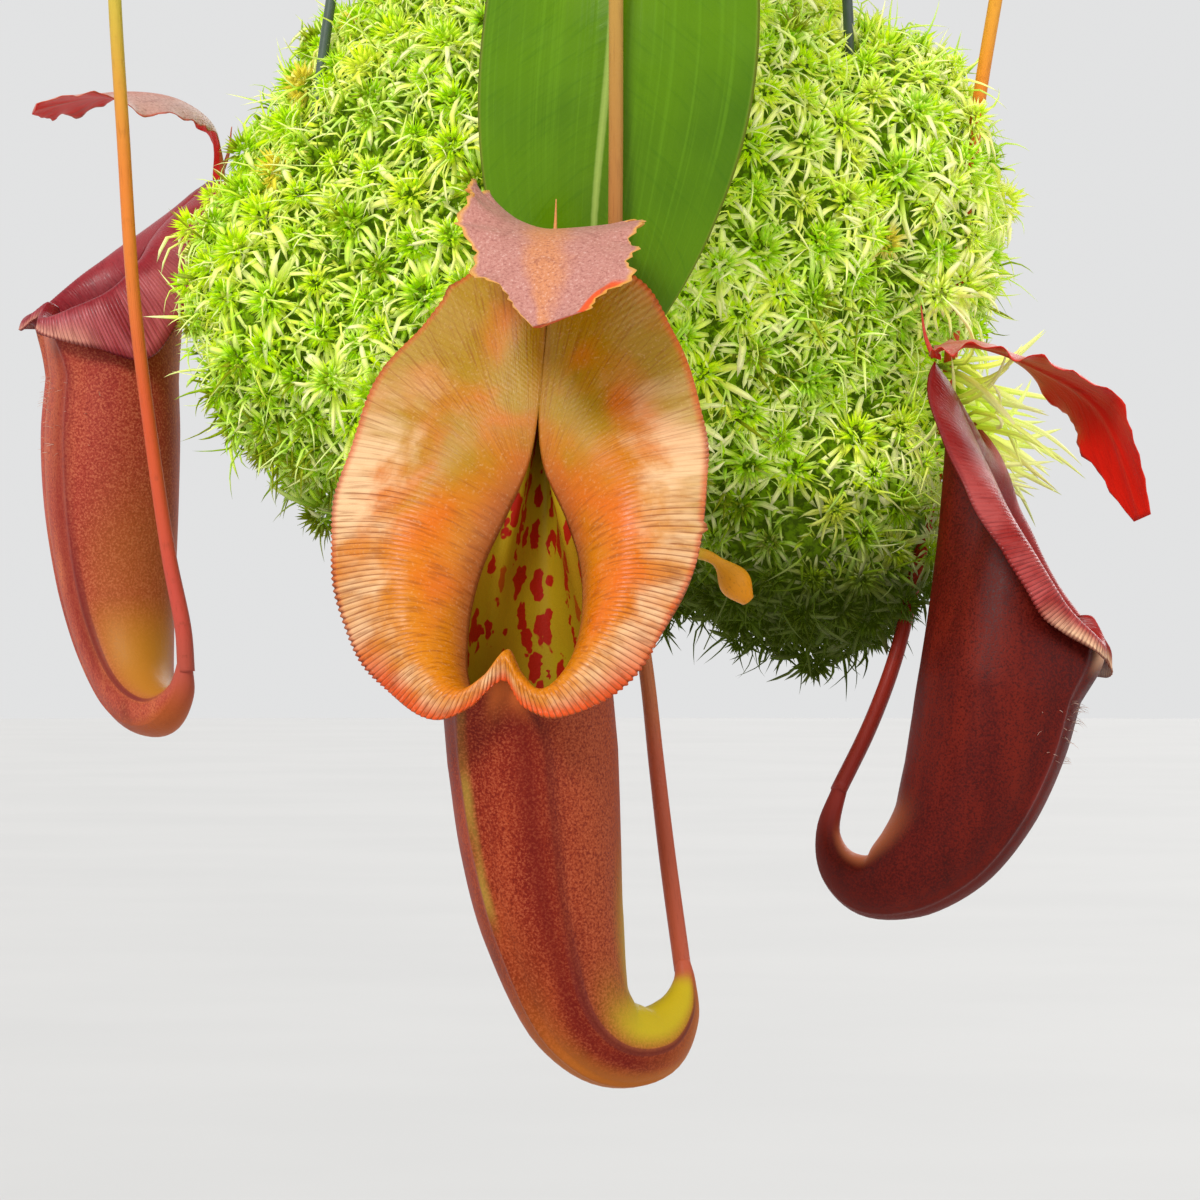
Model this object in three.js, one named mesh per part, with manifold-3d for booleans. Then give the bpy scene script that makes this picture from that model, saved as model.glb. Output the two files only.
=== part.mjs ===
// Hanging pitcher plant: a Nepenthes in a wire basket that live sphagnum has overgrown.
// Millimetres, +Z up. The front is towards -Y and the origin is the bight of the hanging hook.
// Inside the "plant" group heights are measured from the basket's rim.
import * as THREE from "three";
import { mergeVertices } from "three/addons/utils/BufferGeometryUtils.js";
import Module from "manifold-3d";

const wasm = await Module();
wasm.setup();

// Driving dimensions
const hangHeight = 380; // rim of the basket below the hook's bight
const gap = 0.3; // clearance between pieces that touch
const wireRadius = 1.25; // coated hanger wire
const hookWireRadius = 1.7;
const hookBend = 14; // inner bend of the hook, centre line
const shankLength = 34;
const sleeveRadius = 5.5;
const sleeveLength = 16;
const rimRadius = 70; // basket, centre line of its rim wire
const rimWireRadius = 1.6;
const basketDepth = 64;
const basketWireRadius = 1.1;
const basketRibs = 6;
const clipBend = rimWireRadius + wireRadius + 0.4;
const mossCentre = new THREE.Vector3(2, 0, -18);
const mossHeads = 66;
const headRadius = 21;
const headHeight = 8.5;
const stemRadius = 5;
const stemTop = 172;
const bladeThickness = 1.0;
const tendrilRadius = 1.6;
const cupWall = 1.2;
const peristomeThickness = 1.0;
const lidThickness = 1.2;
const mouthSides = 24; // facets round each mouth
const seatStops = [0.15, 0.3]; // band of the peristome that sits on the cup, as shares of its width

const v3 = (x, y, z) => new THREE.Vector3(x, y, z);
const lerp = THREE.MathUtils.lerp;
const smooth = THREE.MathUtils.smoothstep;
const radians = THREE.MathUtils.degToRad;

// Colours and finishes
function finish(color, roughness, metalness = 0) {
  return new THREE.MeshStandardMaterial({ color, roughness, metalness });
}
const coatedWire = () => finish(0x4a5f50, 0.5, 0.1);
const leafGreen = () => finish(0x5f9a1e, 0.35);
const stemGreen = () => finish(0x8a9a3c, 0.55);
const mossGreen = () => finish(0xa8d63c, 0.9);
const rootBrown = () => finish(0x5a4328, 0.95);

// A repeatable draw between 0 and 1
function seeded(seed) {
  let state = seed;
  return () => {
    state = (state * 1664525 + 1013904223) % 4294967296;
    return state / 4294967296;
  };
}

// Geometry helpers

// Closed mesh from point rings of equal count; each end is closed by a fan to its middle
function ringLoft(rings) {
  const sides = rings[0].length;
  const position = [];
  const index = [];
  rings.forEach((ring) => ring.forEach((p) => position.push(p.x, p.y, p.z)));
  for (let i = 0; i < rings.length - 1; i += 1) {
    for (let j = 0; j < sides; j += 1) {
      const a = i * sides + j;
      const b = i * sides + ((j + 1) % sides);
      index.push(a, b, b + sides, a, b + sides, a + sides);
    }
  }
  [0, rings.length - 1].forEach((end) => {
    const middle = v3(0, 0, 0);
    rings[end].forEach((p) => middle.addScaledVector(p, 1 / sides));
    const hub = position.length / 3;
    position.push(middle.x, middle.y, middle.z);
    for (let j = 0; j < sides; j += 1) {
      const a = end * sides + j;
      const b = end * sides + ((j + 1) % sides);
      if (end === 0) index.push(hub, b, a);
      else index.push(hub, a, b);
    }
  });
  return meshOf(position, index);
}

// Closed mesh from a grid that closes on itself both ways
function ringGrid(rows) {
  const count = rows.length;
  const sides = rows[0].length;
  const position = [];
  const index = [];
  rows.forEach((row) => row.forEach((p) => position.push(p.x, p.y, p.z)));
  for (let i = 0; i < count; i += 1) {
    const next = (i + 1) % count;
    for (let j = 0; j < sides; j += 1) {
      const k = (j + 1) % sides;
      index.push(i * sides + j, i * sides + k, next * sides + k);
      index.push(i * sides + j, next * sides + k, next * sides + j);
    }
  }
  return meshOf(position, index);
}

function meshOf(position, index) {
  const geometry = new THREE.BufferGeometry();
  geometry.setAttribute("position", new THREE.Float32BufferAttribute(position, 3));
  geometry.setIndex(index);
  return outward(geometry);
}

// Turns every face when the mesh encloses a negative volume
function outward(geometry) {
  const p = geometry.attributes.position;
  const index = Array.from(geometry.index.array);
  const [a, b, c] = [v3(0, 0, 0), v3(0, 0, 0), v3(0, 0, 0)];
  let volume = 0;
  for (let i = 0; i < index.length; i += 3) {
    a.fromBufferAttribute(p, index[i]);
    b.fromBufferAttribute(p, index[i + 1]);
    c.fromBufferAttribute(p, index[i + 2]);
    volume += a.dot(b.clone().cross(c));
  }
  if (volume < 0) {
    for (let i = 0; i < index.length; i += 3) {
      [index[i], index[i + 1]] = [index[i + 1], index[i]];
    }
  }
  geometry.setIndex(index);
  return geometry;
}

function solidOf(geometry) {
  const bare = geometry.clone();
  bare.deleteAttribute("normal");
  bare.deleteAttribute("uv");
  const merged = mergeVertices(bare, 1e-4);
  const vertProperties = new Float32Array(merged.attributes.position.array);
  const triVerts = new Uint32Array(merged.index.array);
  return new wasm.Manifold(new wasm.Mesh({ numProp: 3, vertProperties, triVerts }));
}

function geometryOf(solid) {
  const mesh = solid.getMesh();
  const geometry = new THREE.BufferGeometry();
  geometry.setAttribute("position", new THREE.BufferAttribute(mesh.vertProperties, 3));
  geometry.setIndex(Array.from(mesh.triVerts));
  return geometry;
}

const curveThrough = (points) => new THREE.CatmullRomCurve3(points, false, "centripetal");

// Frames along a curve: each side vector is the last one turned as little as possible
function framesAlong(curve, stops, firstSide) {
  const frames = [];
  let side = firstSide.clone();
  stops.forEach((t) => {
    const tangent = curve.getTangent(t).normalize();
    side = side.clone().addScaledVector(tangent, -side.dot(tangent)).normalize();
    const normal = side.clone().cross(tangent).normalize();
    frames.push({ point: curve.getPoint(t), tangent, side, normal });
  });
  return frames;
}

const evenStops = (steps) => Array.from({ length: steps + 1 }, (unused, i) => i / steps);

// Tube along a curve; steps is their number, or the stops themselves
function tube(points, radius, steps, sides) {
  const curve = curveThrough(points);
  const stops = typeof steps === "number" ? evenStops(steps) : steps;
  const radiusAt = typeof radius === "function" ? radius : () => radius;
  const start = curve.getTangent(0);
  const across = Math.abs(start.z) > 0.9 ? v3(1, 0, 0) : v3(0, 0, 1);
  const frames = framesAlong(curve, stops, start.cross(across).normalize());
  const rings = frames.map((frame, i) => ringAround(frame, radiusAt(stops[i]), sides));
  return ringLoft(rings);
}

function ringAround(frame, radius, sides) {
  return Array.from({ length: sides }, (unused, j) => {
    const angle = (j / sides) * Math.PI * 2;
    return frame.point
      .clone()
      .addScaledVector(frame.side, Math.cos(angle) * radius)
      .addScaledVector(frame.normal, Math.sin(angle) * radius);
  });
}

function lathe(profile, segments) {
  const points = profile.map(([x, z]) => new THREE.Vector2(x, z));
  const geometry = new THREE.LatheGeometry(points, segments);
  geometry.rotateX(Math.PI / 2);
  geometry.deleteAttribute("normal");
  geometry.deleteAttribute("uv");
  return outward(mergeVertices(geometry, 1e-4));
}

// Leaves

// Half width of a blade from its clasping foot (0) to its rounded tip (1)
function bladeHalfWidth(t, widest, foot, lean) {
  const body = widest * Math.sin(Math.PI * t ** lean) ** 0.62;
  const petiole = lerp(foot, foot * 0.55, smooth(t, 0, 0.12));
  return Math.max(body * smooth(t, 0.02, 0.4), petiole * (1 - smooth(t, 0.25, 0.5)));
}

// Blade section that turns into a round tendril: left edge, over the midrib, back beneath
function leafSection(frame, halfWidth, thickness, roundness, radius, foldLeft, foldRight) {
  const corners = [];
  for (let j = 0; j < 8; j += 1) {
    const angle = Math.PI - (j * Math.PI) / 4;
    const across = Math.cos(angle);
    const over = Math.sin(angle);
    const fold = radians(across < 0 ? foldLeft : foldRight);
    const share = Math.abs(across) > 0.9 ? 1 : Math.abs(across) > 0.1 ? 0.5 : 0;
    const reach = Math.sign(across) * halfWidth * share;
    const rib = share === 0 ? 1.9 : share === 0.5 ? 1 : 0;
    const flatX = reach * Math.cos(fold);
    const flatY = -Math.abs(reach) * Math.sin(fold) + Math.sign(over) * rib * thickness * 0.5;
    const x = lerp(flatX, across * radius, roundness);
    const y = lerp(flatY, over * radius, roundness);
    corners.push(frame.point.clone().addScaledVector(frame.side, x).addScaledVector(frame.normal, y));
  }
  return corners;
}

// One grown piece: blade along the first points, then its tendril, then an optional small bud
function leaf(spec) {
  const blade = curveThrough(spec.blade.map((p) => v3(...p)));
  const bladeStops = [0, 0.05, 0.12, 0.2, 0.3, 0.4, 0.5, 0.6, 0.7, 0.79, 0.87, 0.93, 0.97, 0.99];
  const frames = framesAlong(blade, bladeStops, v3(...spec.side));
  const rings = frames.map((frame, i) => {
    const t = bladeStops[i];
    const half = Math.max(bladeHalfWidth(t, spec.halfWidth, spec.foot, spec.lean ?? 1.25), tendrilRadius);
    const ease = smooth(t, 0.05, 0.3);
    const left = spec.fold[0] * ease;
    const right = spec.fold[1] * ease;
    return leafSection(frame, half, bladeThickness, 0, tendrilRadius, left, right);
  });
  const end = frames[frames.length - 1];
  const path = [blade.getPoint(1), ...spec.tendril.map((p) => v3(...p))];
  const tendril = curveThrough(path);
  const steps = spec.steps;
  const stops = evenStops(steps);
  const radiusAt = (t) => lerp(tendrilRadius, spec.endRadius, smooth(t, 0.5, 1));
  const swell = (t) => (spec.bud ? spec.bud * Math.sin(Math.PI * smooth(t, 0.8, 1.04)) : 0);
  framesAlong(tendril, stops, end.side).forEach((frame, i) => {
    const radius = radiusAt(stops[i]) + swell(stops[i]);
    rings.push(leafSection(frame, radius, bladeThickness, 1, radius, 0, 0));
  });
  return ringLoft(rings);
}

// Pitchers

// Half of a peristome from its front notch to its neck. Each row gives the inner edge's half
// width and height, the outer edge's, and how deep the inner edge lies. Heights are shares of
// the way from lip to neck, the rest is millimetres on a full-sized mouth.
const mouthRows = [
  [0, 0.09, 0, 0.0, 0.5],
  [2.8, 0.04, 5.5, -0.075, 3.5],
  [6.8, 0.0, 13, -0.1, 6],
  [9.6, 0.06, 22.5, -0.03, 8.5],
  [10.8, 0.15, 31, 0.1, 10],
  [10.8, 0.25, 37, 0.26, 10],
  [9.2, 0.37, 40, 0.45, 9.5],
  [6.2, 0.49, 39.5, 0.63, 9],
  [2.2, 0.6, 36, 0.81, 6],
  [0.9, 0.74, 29, 0.98, 3.5],
  [0.9, 0.88, 17.5, 1.12, 2.5],
  [0, 1.0, 0, 1.15, 1.5],
];

// Smooth closed run of the rows: across is negative on the left of a viewer who faces the mouth
function mouthRun(spec) {
  const last = mouthRows.length - 1;
  const full = [];
  for (let k = 0; k <= last; k += 1) full.push([-1, mouthRows[k]]);
  for (let k = last - 1; k > 0; k -= 1) full.push([1, mouthRows[k]]);
  const column = (pick) => new THREE.CatmullRomCurve3(full.map(pick), true, "catmullrom", 0.5);
  const inner = column(([hand, row]) => v3(hand * row[0], row[1], -row[4]));
  const outer = column(([hand, row]) => v3(hand * row[2], row[3], 0));
  return (u) => {
    const a = inner.getPoint(u);
    const b = outer.getPoint(u);
    const wide = b.x < 0 ? spec.flare[0] : spec.flare[1];
    a.x *= spec.mouthScale;
    b.x *= spec.mouthScale * wide;
    return { inner: a, outer: b };
  };
}

// Turns (across, share of height, out of the mouth) into a point beside the pitcher's axis
function mouthPlace(spec) {
  const forward = v3(Math.sin(radians(spec.facing)), -Math.cos(radians(spec.facing)), 0);
  const across = v3(0, 0, 1).cross(forward);
  const [lipF, lipZ] = spec.lip;
  const [neckF, neckZ] = spec.neck;
  const run = Math.hypot(neckF - lipF, neckZ - lipZ);
  const out = forward.clone().multiplyScalar((neckZ - lipZ) / run);
  out.z = (lipF - neckF) / run;
  const place = (x, h, n) => {
    const bow = spec.bow * 4 * h * (1 - h);
    return v3(...spec.axis)
      .addScaledVector(forward, lerp(lipF, neckF, h))
      .addScaledVector(v3(0, 0, 1), lerp(lipZ, neckZ, h))
      .addScaledVector(across, x)
      .addScaledVector(out, n - bow);
  };
  return { place, forward, across, out };
}

// Trumpet profile: steep out of the throat, flat over the crest, rolled back at the margin
function peristomePoint(spec, run, mouth, u, t) {
  const { inner, outer } = run(u);
  const spread = t ** 1.35;
  const wave = Math.sin(u * Math.PI * 2 * 9) * spec.wave * t * t;
  const roll = spec.roll * smooth(Math.abs(outer.x) / spec.mouthScale, 8, 32);
  const rise = inner.z * (1 - t) ** 2.3 + spec.crest * Math.sin(Math.PI * t) - roll * t ** 4;
  const x = lerp(inner.x, outer.x, spread);
  const h = lerp(inner.y, outer.y, spread);
  return mouth.place(x, h, rise + wave);
}

// The same point set back behind the face, square to it
function peristomeBack(spec, run, mouth, u, t, depth) {
  const step = 0.004;
  const at = (du, dt) => peristomePoint(spec, run, mouth, (u + du + 1) % 1, t + dt);
  const alongRim = at(step, 0).sub(at(-step, 0));
  const acrossRim = at(0, Math.min(step, 1 - t)).sub(at(0, Math.max(-step, -t)));
  const normal = acrossRim.cross(alongRim).normalize();
  return at(0, 0).addScaledVector(normal, depth);
}

function peristome(spec) {
  const run = mouthRun(spec);
  const mouth = mouthPlace(spec);
  const stops = [0, seatStops[0], seatStops[1], 0.62, 1];
  const rows = [];
  for (let i = 0; i < mouthSides; i += 1) {
    const u = i / mouthSides;
    const face = stops.map((t) => peristomePoint(spec, run, mouth, u, t));
    const back = stops.map((t) => peristomeBack(spec, run, mouth, u, t, peristomeThickness));
    rows.push([...face, ...back.reverse()]);
  }
  return ringGrid(rows);
}

// The cup is one shell: up its outside from the tendril, over its edge and down its inside
function cup(spec) {
  const run = mouthRun(spec);
  const mouth = mouthPlace(spec);
  const sides = mouthSides;
  const bodyPoints = spec.body.map((p) => v3(p[0], p[1], p[2]));
  const curve = curveThrough(bodyPoints);
  const count = spec.body.length - 1;
  const stops = spec.body.map((p, i) => i / count);
  const frames = stops.map((t, i) => {
    const tangent = curve.getTangent(t).normalize();
    return { point: bodyPoints[i], tangent };
  });
  // Sections keep the mouth's front side in front by carrying its direction down the body
  let front = mouth.forward.clone();
  for (let i = count; i >= 0; i -= 1) {
    const { tangent } = frames[i];
    front = front.clone().addScaledVector(tangent, -front.dot(tangent)).normalize();
    frames[i].front = front;
    frames[i].hand = tangent.clone().cross(front);
  }
  const section = (frame, radius, u) => {
    const angle = u * Math.PI * 2;
    const ridge = spec.ridge * (bump(angle, radians(31)) + bump(angle, -radians(31)));
    const reach = radius * (1 + ridge);
    return frame.point
      .clone()
      .addScaledVector(frame.front, Math.cos(angle) * reach)
      .addScaledVector(frame.hand, -Math.sin(angle) * reach);
  };
  const seat = peristomeThickness + gap;
  const rimAt = (u, inset) => peristomeBack(spec, run, mouth, u, inset, seat);
  const around = (make) => Array.from({ length: sides }, (unused, j) => make(j / sides));
  const rings = frames.map((frame, i) => around((u) => section(frame, spec.body[i][3], u)));
  const top = frames[count];
  const radiusTop = spec.body[count][3];
  const wallRing = (share, thin, inset) =>
    around((u) => {
      const from = section(top, radiusTop - thin, u);
      const to = rimAt(u, inset);
      return from.lerp(to, share);
    });
  [0.35, 0.75].forEach((share) => rings.push(wallRing(share, 0, seatStops[1])));
  rings.push(around((u) => rimAt(u, seatStops[1])));
  rings.push(around((u) => rimAt(u, seatStops[0])));
  [0.5, 0].forEach((share) => rings.push(wallRing(share, cupWall, seatStops[0])));
  for (let i = count - 1; i >= spec.floor; i -= 1) {
    rings.push(around((u) => section(frames[i], spec.body[i][3] - cupWall, u)));
  }
  return ringLoft(rings);
}

// A narrow hump of height 1 round an angle
function bump(angle, at) {
  const away = Math.atan2(Math.sin(angle - at), Math.cos(angle - at));
  return Math.exp(-((away / 0.16) ** 2));
}

// Values between a table's rows, which stand at even shares of the way
function rowAt(rows, t) {
  const at = t * (rows.length - 1);
  const k = Math.min(Math.floor(at), rows.length - 2);
  return rows[k].map((value, i) => lerp(value, rows[k + 1][i], at - k));
}

// The lid springs from the neck on a short keel, arches over the mouth and droops to its tip
function lid(spec) {
  const mouth = mouthPlace(spec);
  const forward = mouth.forward;
  const up = v3(0, 0, 1);
  const foot = mouth.place(0, mouthRows.at(-1)[3], 0.5);
  const path = spec.lid.path.map(([f, z, l]) =>
    foot
      .clone()
      .addScaledVector(forward, f)
      .addScaledVector(up, z)
      .addScaledVector(mouth.across, l),
  );
  const curve = curveThrough(path);
  const along = 17;
  const rings = [];
  evenStops(along).forEach((t, i) => {
    const tangent = curve.getTangent(t).normalize();
    const side = mouth.across.clone().addScaledVector(tangent, -mouth.across.dot(tangent)).normalize();
    const top = tangent.clone().cross(side);
    const [leftHalf, leftLift, rightHalf, rightLift, twist] = rowAt(spec.lid.edge, t);
    const roll = radians(twist);
    side.applyAxisAngle(tangent, roll);
    top.applyAxisAngle(tangent, roll);
    const tooth = i % 2 === 0 ? 1 : 0.93;
    const keel = lerp(2.4, lidThickness, smooth(t, 0, 0.25));
    const ring = [-1, -0.55, 0, 0.55, 1, 0.55, 0, -0.55].map((share, j) => {
      const half = (share < 0 ? leftHalf : rightHalf) * tooth;
      const lift = (share < 0 ? leftLift : rightLift) * Math.abs(share) ** 1.6;
      const sideways = Math.abs(share) === 1 ? 0 : j < 4 ? 0.5 : -0.5;
      return curve
        .getPoint(t)
        .addScaledVector(side, share * half)
        .addScaledVector(top, lift + sideways * keel);
    });
    rings.push(ring);
  });
  return ringLoft(rings);
}

// A lid's edge rows: half width and lift on the left, the same on the right, twist in degrees
const pitcherSpecs = {
  centre: {
    axis: [-10.5, -138, 0],
    facing: -13,
    lip: [24, -113],
    neck: [-15, -34],
    bow: 2,
    mouthScale: 1,
    flare: [1.1, 0.95],
    crest: 3.2,
    roll: 5,
    wave: 0.9,
    ridge: 0.07,
    floor: 5,
    body: [
      [22.2, -122, -174.5, 2.0],
      [22.6, -123.5, -179, 2.7],
      [20.8, -127, -185.7, 5.2],
      [15.2, -131.5, -191.2, 8.2],
      [7.2, -135, -191, 10],
      [0.2, -137, -184.4, 11.8],
      [-5.6, -138, -165, 15.4],
      [-8.4, -138, -147.5, 17.4],
      [-10.2, -138, -129.5, 18.4],
    ],
    lid: {
      path: [[-1.2, 0.1, 0], [-2, 4, 0], [5, 5.5, 1], [18, 3, 2], [31, -6, 3], [40, -17, 3]],
      edge: [[1.6, 0, 1.6, 0, 0], [14, 8, 13, 3, 0], [19, 10, 19, 1, 0], [17, 5, 19, -3, 0],
        [10, 1, 12, -2, 0], [2.4, 0, 2.4, 0, 0]],
    },
    skin: 0x9c402c,
    rim: 0xe08c35,
    cover: 0xb87a70,
  },
  right: {
    axis: [97, -58, 0],
    facing: 78,
    lip: [20.5, -104],
    neck: [-11.5, -50],
    bow: 1,
    mouthScale: 0.72,
    flare: [0.8, 0.8],
    crest: 2.4,
    roll: 5,
    wave: 0.6,
    ridge: 0.05,
    floor: 5,
    body: [
      [60, -50, -138.4, 2.0],
      [56.9, -51.5, -149.8, 2.8],
      [59.3, -53.5, -157.2, 4.8],
      [65.6, -56, -161.2, 7.4],
      [73.6, -57.5, -159, 10.6],
      [82.7, -58, -151.4, 13.8],
      [89.1, -58, -140.3, 16.4],
      [93.7, -58, -127, 18.2],
      [96.3, -58, -115.5, 18.9],
    ],
    lid: {
      path: [[-1.2, 1, 0], [-0.5, 3, 0], [8, 4, 0], [22, -1, 0], [37, -11, 0], [47, -36, 0]],
      edge: [[1.6, 0, 1.6, 0, 0], [6, 0, 6, 0, 8], [11, 0, 11, 0, 8], [12, -1, 12, -1, -14],
        [12, -2, 13, -2, -36], [3, 0, 3, 0, -48]],
    },
    skin: 0x6e160c,
    rim: 0x7c1f18,
    cover: 0xb4281a,
  },
  left: {
    axis: [-115, 25, 0],
    facing: -66,
    lip: [17.5, -27],
    neck: [-21.5, 3],
    bow: 0,
    mouthScale: 0.72,
    flare: [0.72, 0.72],
    crest: 2.4,
    roll: 9,
    wave: 0.5,
    ridge: 0.06,
    floor: 5,
    body: [
      [-94.2, -14.5, -111, 2.2],
      [-95.2, -13, -117.5, 3.2],
      [-99.4, -6, -122.4, 5.2],
      [-104, 3, -121.8, 7.2],
      [-108, 12, -116.8, 9.4],
      [-111.4, 20, -105.8, 12],
      [-113.6, 24, -92, 14.2],
      [-114.8, 25, -74, 16],
      [-115, 25, -56, 16.6],
      [-114.6, 25, -42, 15.8],
    ],
    lid: {
      path: [[-1, -0.2, 0], [-0.5, 7, 0], [1.5, 13.5, 0], [10, 19, 0], [24, 20.3, 0],
        [38, 18, 0], [47, 15.5, 0]],
      edge: [[1.6, 0, 1.6, 0, 0], [1.6, 0, 1.6, 0, 0], [7, -1, 7, -2, -8], [12, -3, 12, -4, -12],
        [13, -3, 13, -4, -10], [11, -2, 11, -1, 8], [3, 0, 3, 0, 22]],
    },
    skin: 0xa24a40,
    rim: 0x7e2430,
    cover: 0xb98078,
  },
};

// Leaf paths: the blade's midrib, then its tendril
const leafSpecs = {
  centre: {
    blade: [[1, -5.6, 150], [3, -38, 168], [6, -78, 158], [8, -106, 122], [7.8, -115, 90]],
    tendril: [
      [7.8, -114.6, 60],
      [7.8, -113.6, 10],
      [7.8, -113.2, -36],
      [9.5, -113.4, -75],
      [14.8, -114.6, -114.5],
      [16.6, -116, -131.4],
      [19, -118, -152],
      [21.9, -121.6, -173.4],
    ],
    side: [-1, 0, 0],
    halfWidth: 30,
    foot: 6,
    fold: [10, 10],
    endRadius: 1.9,
    steps: 20,
  },
  left: {
    blade: [[-5.6, 1, 118], [-38, 8, 138], [-80, 2, 130], [-106, -7, 102], [-112, -10, 78]],
    tendril: [
      [-111.4, -10, 50],
      [-109.3, -10, 15.2],
      [-106.7, -10.5, -23.6],
      [-102.4, -12, -57.6],
      [-98, -13.5, -86],
      [-94.6, -14.6, -103],
      [-94.1, -14.6, -110.2],
    ],
    side: [0, -1, 0],
    halfWidth: 29,
    foot: 6,
    fold: [10, 12],
    endRadius: 2.1,
    steps: 17,
  },
  right: {
    blade: [[5.6, 1, 132], [40, 10, 150], [76, 2, 140], [98, -20, 110], [103, -28, 82]],
    tendril: [
      [97.6, -30, 48],
      [93.6, -30, 24],
      [90.4, -30, 0],
      [88.4, -30, -20],
      [84, -31, -60],
      [78, -34, -90],
      [73.3, -37, -109],
      [67.2, -43, -124.6],
      [60.8, -49.5, -137],
    ],
    side: [0, 1, 0],
    halfWidth: 28,
    foot: 6,
    fold: [12, 10],
    endRadius: 1.9,
    steps: 18,
  },
  front: {
    blade: [
      [0, -5.6, 92],
      [3, -38, 109],
      [7, -76, 99],
      [8, -100, 68],
      [6.5, -110, 30],
      [3, -109.5, -8],
      [1, -105, -48],
    ],
    tendril: [[0, -103, -64], [8, -101, -80], [20, -96, -91], [31, -90, -95], [36, -86, -93]],
    side: [-1, 0, 0],
    halfWidth: 33,
    foot: 6,
    fold: [2, 42],
    lean: 1.8,
    endRadius: 1.0,
    steps: 12,
    bud: 3,
  },
  back_left: {
    blade: [[-3, 5, 106], [-22, 36, 126], [-42, 72, 118], [-52, 92, 88], [-54, 98, 60]],
    tendril: [[-55, 101, 30], [-52, 104, -5], [-44, 106, -28], [-34, 108, -30], [-30, 109, -18]],
    side: [0.85, 0.52, 0],
    halfWidth: 28,
    foot: 6,
    fold: [10, 10],
    endRadius: 1.0,
    steps: 12,
    bud: 4,
  },
  back_right: {
    blade: [[3, 5, 124], [24, 38, 146], [46, 76, 138], [57, 98, 106], [60, 104, 74]],
    tendril: [[61, 107, 40], [60, 110, 8], [54, 112, -18], [45, 113, -24], [39, 113, -14]],
    side: [0.85, -0.52, 0],
    halfWidth: 27,
    foot: 6,
    fold: [10, 10],
    endRadius: 1.0,
    steps: 12,
    bud: 4,
  },
  upper: {
    blade: [[-3.9, 2.6, 162], [-20, 14, 196], [-42, 28, 222], [-66, 44, 232], [-84, 56, 224]],
    tendril: [[-92, 61, 210], [-96, 64, 190], [-92, 62, 176], [-85, 58, 178]],
    side: [0.55, 0.83, 0],
    halfWidth: 20,
    foot: 5,
    fold: [-14, -14],
    endRadius: 0.9,
    steps: 10,
    bud: 2,
  },
};

// Moss

// Distance from the moss's middle to its surface: the furthest of a few overlapping round lobes
const mossLobes = [
  { at: [0, 0, 0], size: [85, 88, 82] },
  { at: [50, -24, -50], size: [34, 38, 39] },
  { at: [-56, -22, -10], size: [37, 44, 40] },
  { at: [62, -12, 14], size: [33, 48, 44] },
  { at: [-20, -44, -22], size: [44, 42, 42] },
  { at: [24, -40, 4], size: [48, 46, 58] },
];

function mossReach(direction) {
  let reach = 0;
  mossLobes.forEach(({ at, size }) => {
    const scaled = v3(direction.x / size[0], direction.y / size[1], direction.z / size[2]);
    const centre = v3(at[0] / size[0], at[1] / size[1], at[2] / size[2]);
    const along = scaled.dot(centre);
    const span = scaled.lengthSq();
    const inside = along * along - span * (centre.lengthSq() - 1);
    if (inside > 0) reach = Math.max(reach, (along + Math.sqrt(inside)) / span);
  });
  return reach;
}

const mossPoint = (direction, proud = 0) =>
  direction
    .clone()
    .multiplyScalar(mossReach(direction) + proud)
    .add(mossCentre);

function mossNormal(direction) {
  const step = 0.06;
  const side = v3(-direction.y, direction.x, 0).normalize();
  const rise = direction.clone().cross(side);
  const at = (a, b) =>
    mossPoint(direction.clone().addScaledVector(side, a).addScaledVector(rise, b).normalize());
  const du = at(step, 0).sub(at(-step, 0));
  const dv = at(0, step).sub(at(0, -step));
  return du.cross(dv).normalize();
}

// A sphagnum head: a low star of pointed sprays with its tips a little proud
function mossHead(at, normal, turn, size, points) {
  const across = v3(0, 0, 1).cross(normal).normalize();
  const rise = normal.clone().cross(across);
  const place = (radius, angle, height) =>
    at
      .clone()
      .addScaledVector(across, Math.cos(angle) * radius * size)
      .addScaledVector(rise, Math.sin(angle) * radius * size)
      .addScaledVector(normal, height * size);
  const ring = [];
  for (let i = 0; i < points * 2; i += 1) {
    const angle = turn + (i / (points * 2)) * Math.PI * 2;
    ring.push(i % 2 === 0 ? place(headRadius, angle, 1.2) : place(headRadius * 0.42, angle, 0.4));
  }
  const position = [];
  const index = [];
  const crown = place(0, 0, headHeight);
  const root = place(0, 0, -headHeight * 1.6);
  [...ring, crown, root].forEach((p) => position.push(p.x, p.y, p.z));
  ring.forEach((unused, i) => {
    const next = (i + 1) % ring.length;
    index.push(i, next, ring.length);
    index.push(next, i, ring.length + 1);
  });
  return meshOf(position, index);
}

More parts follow.
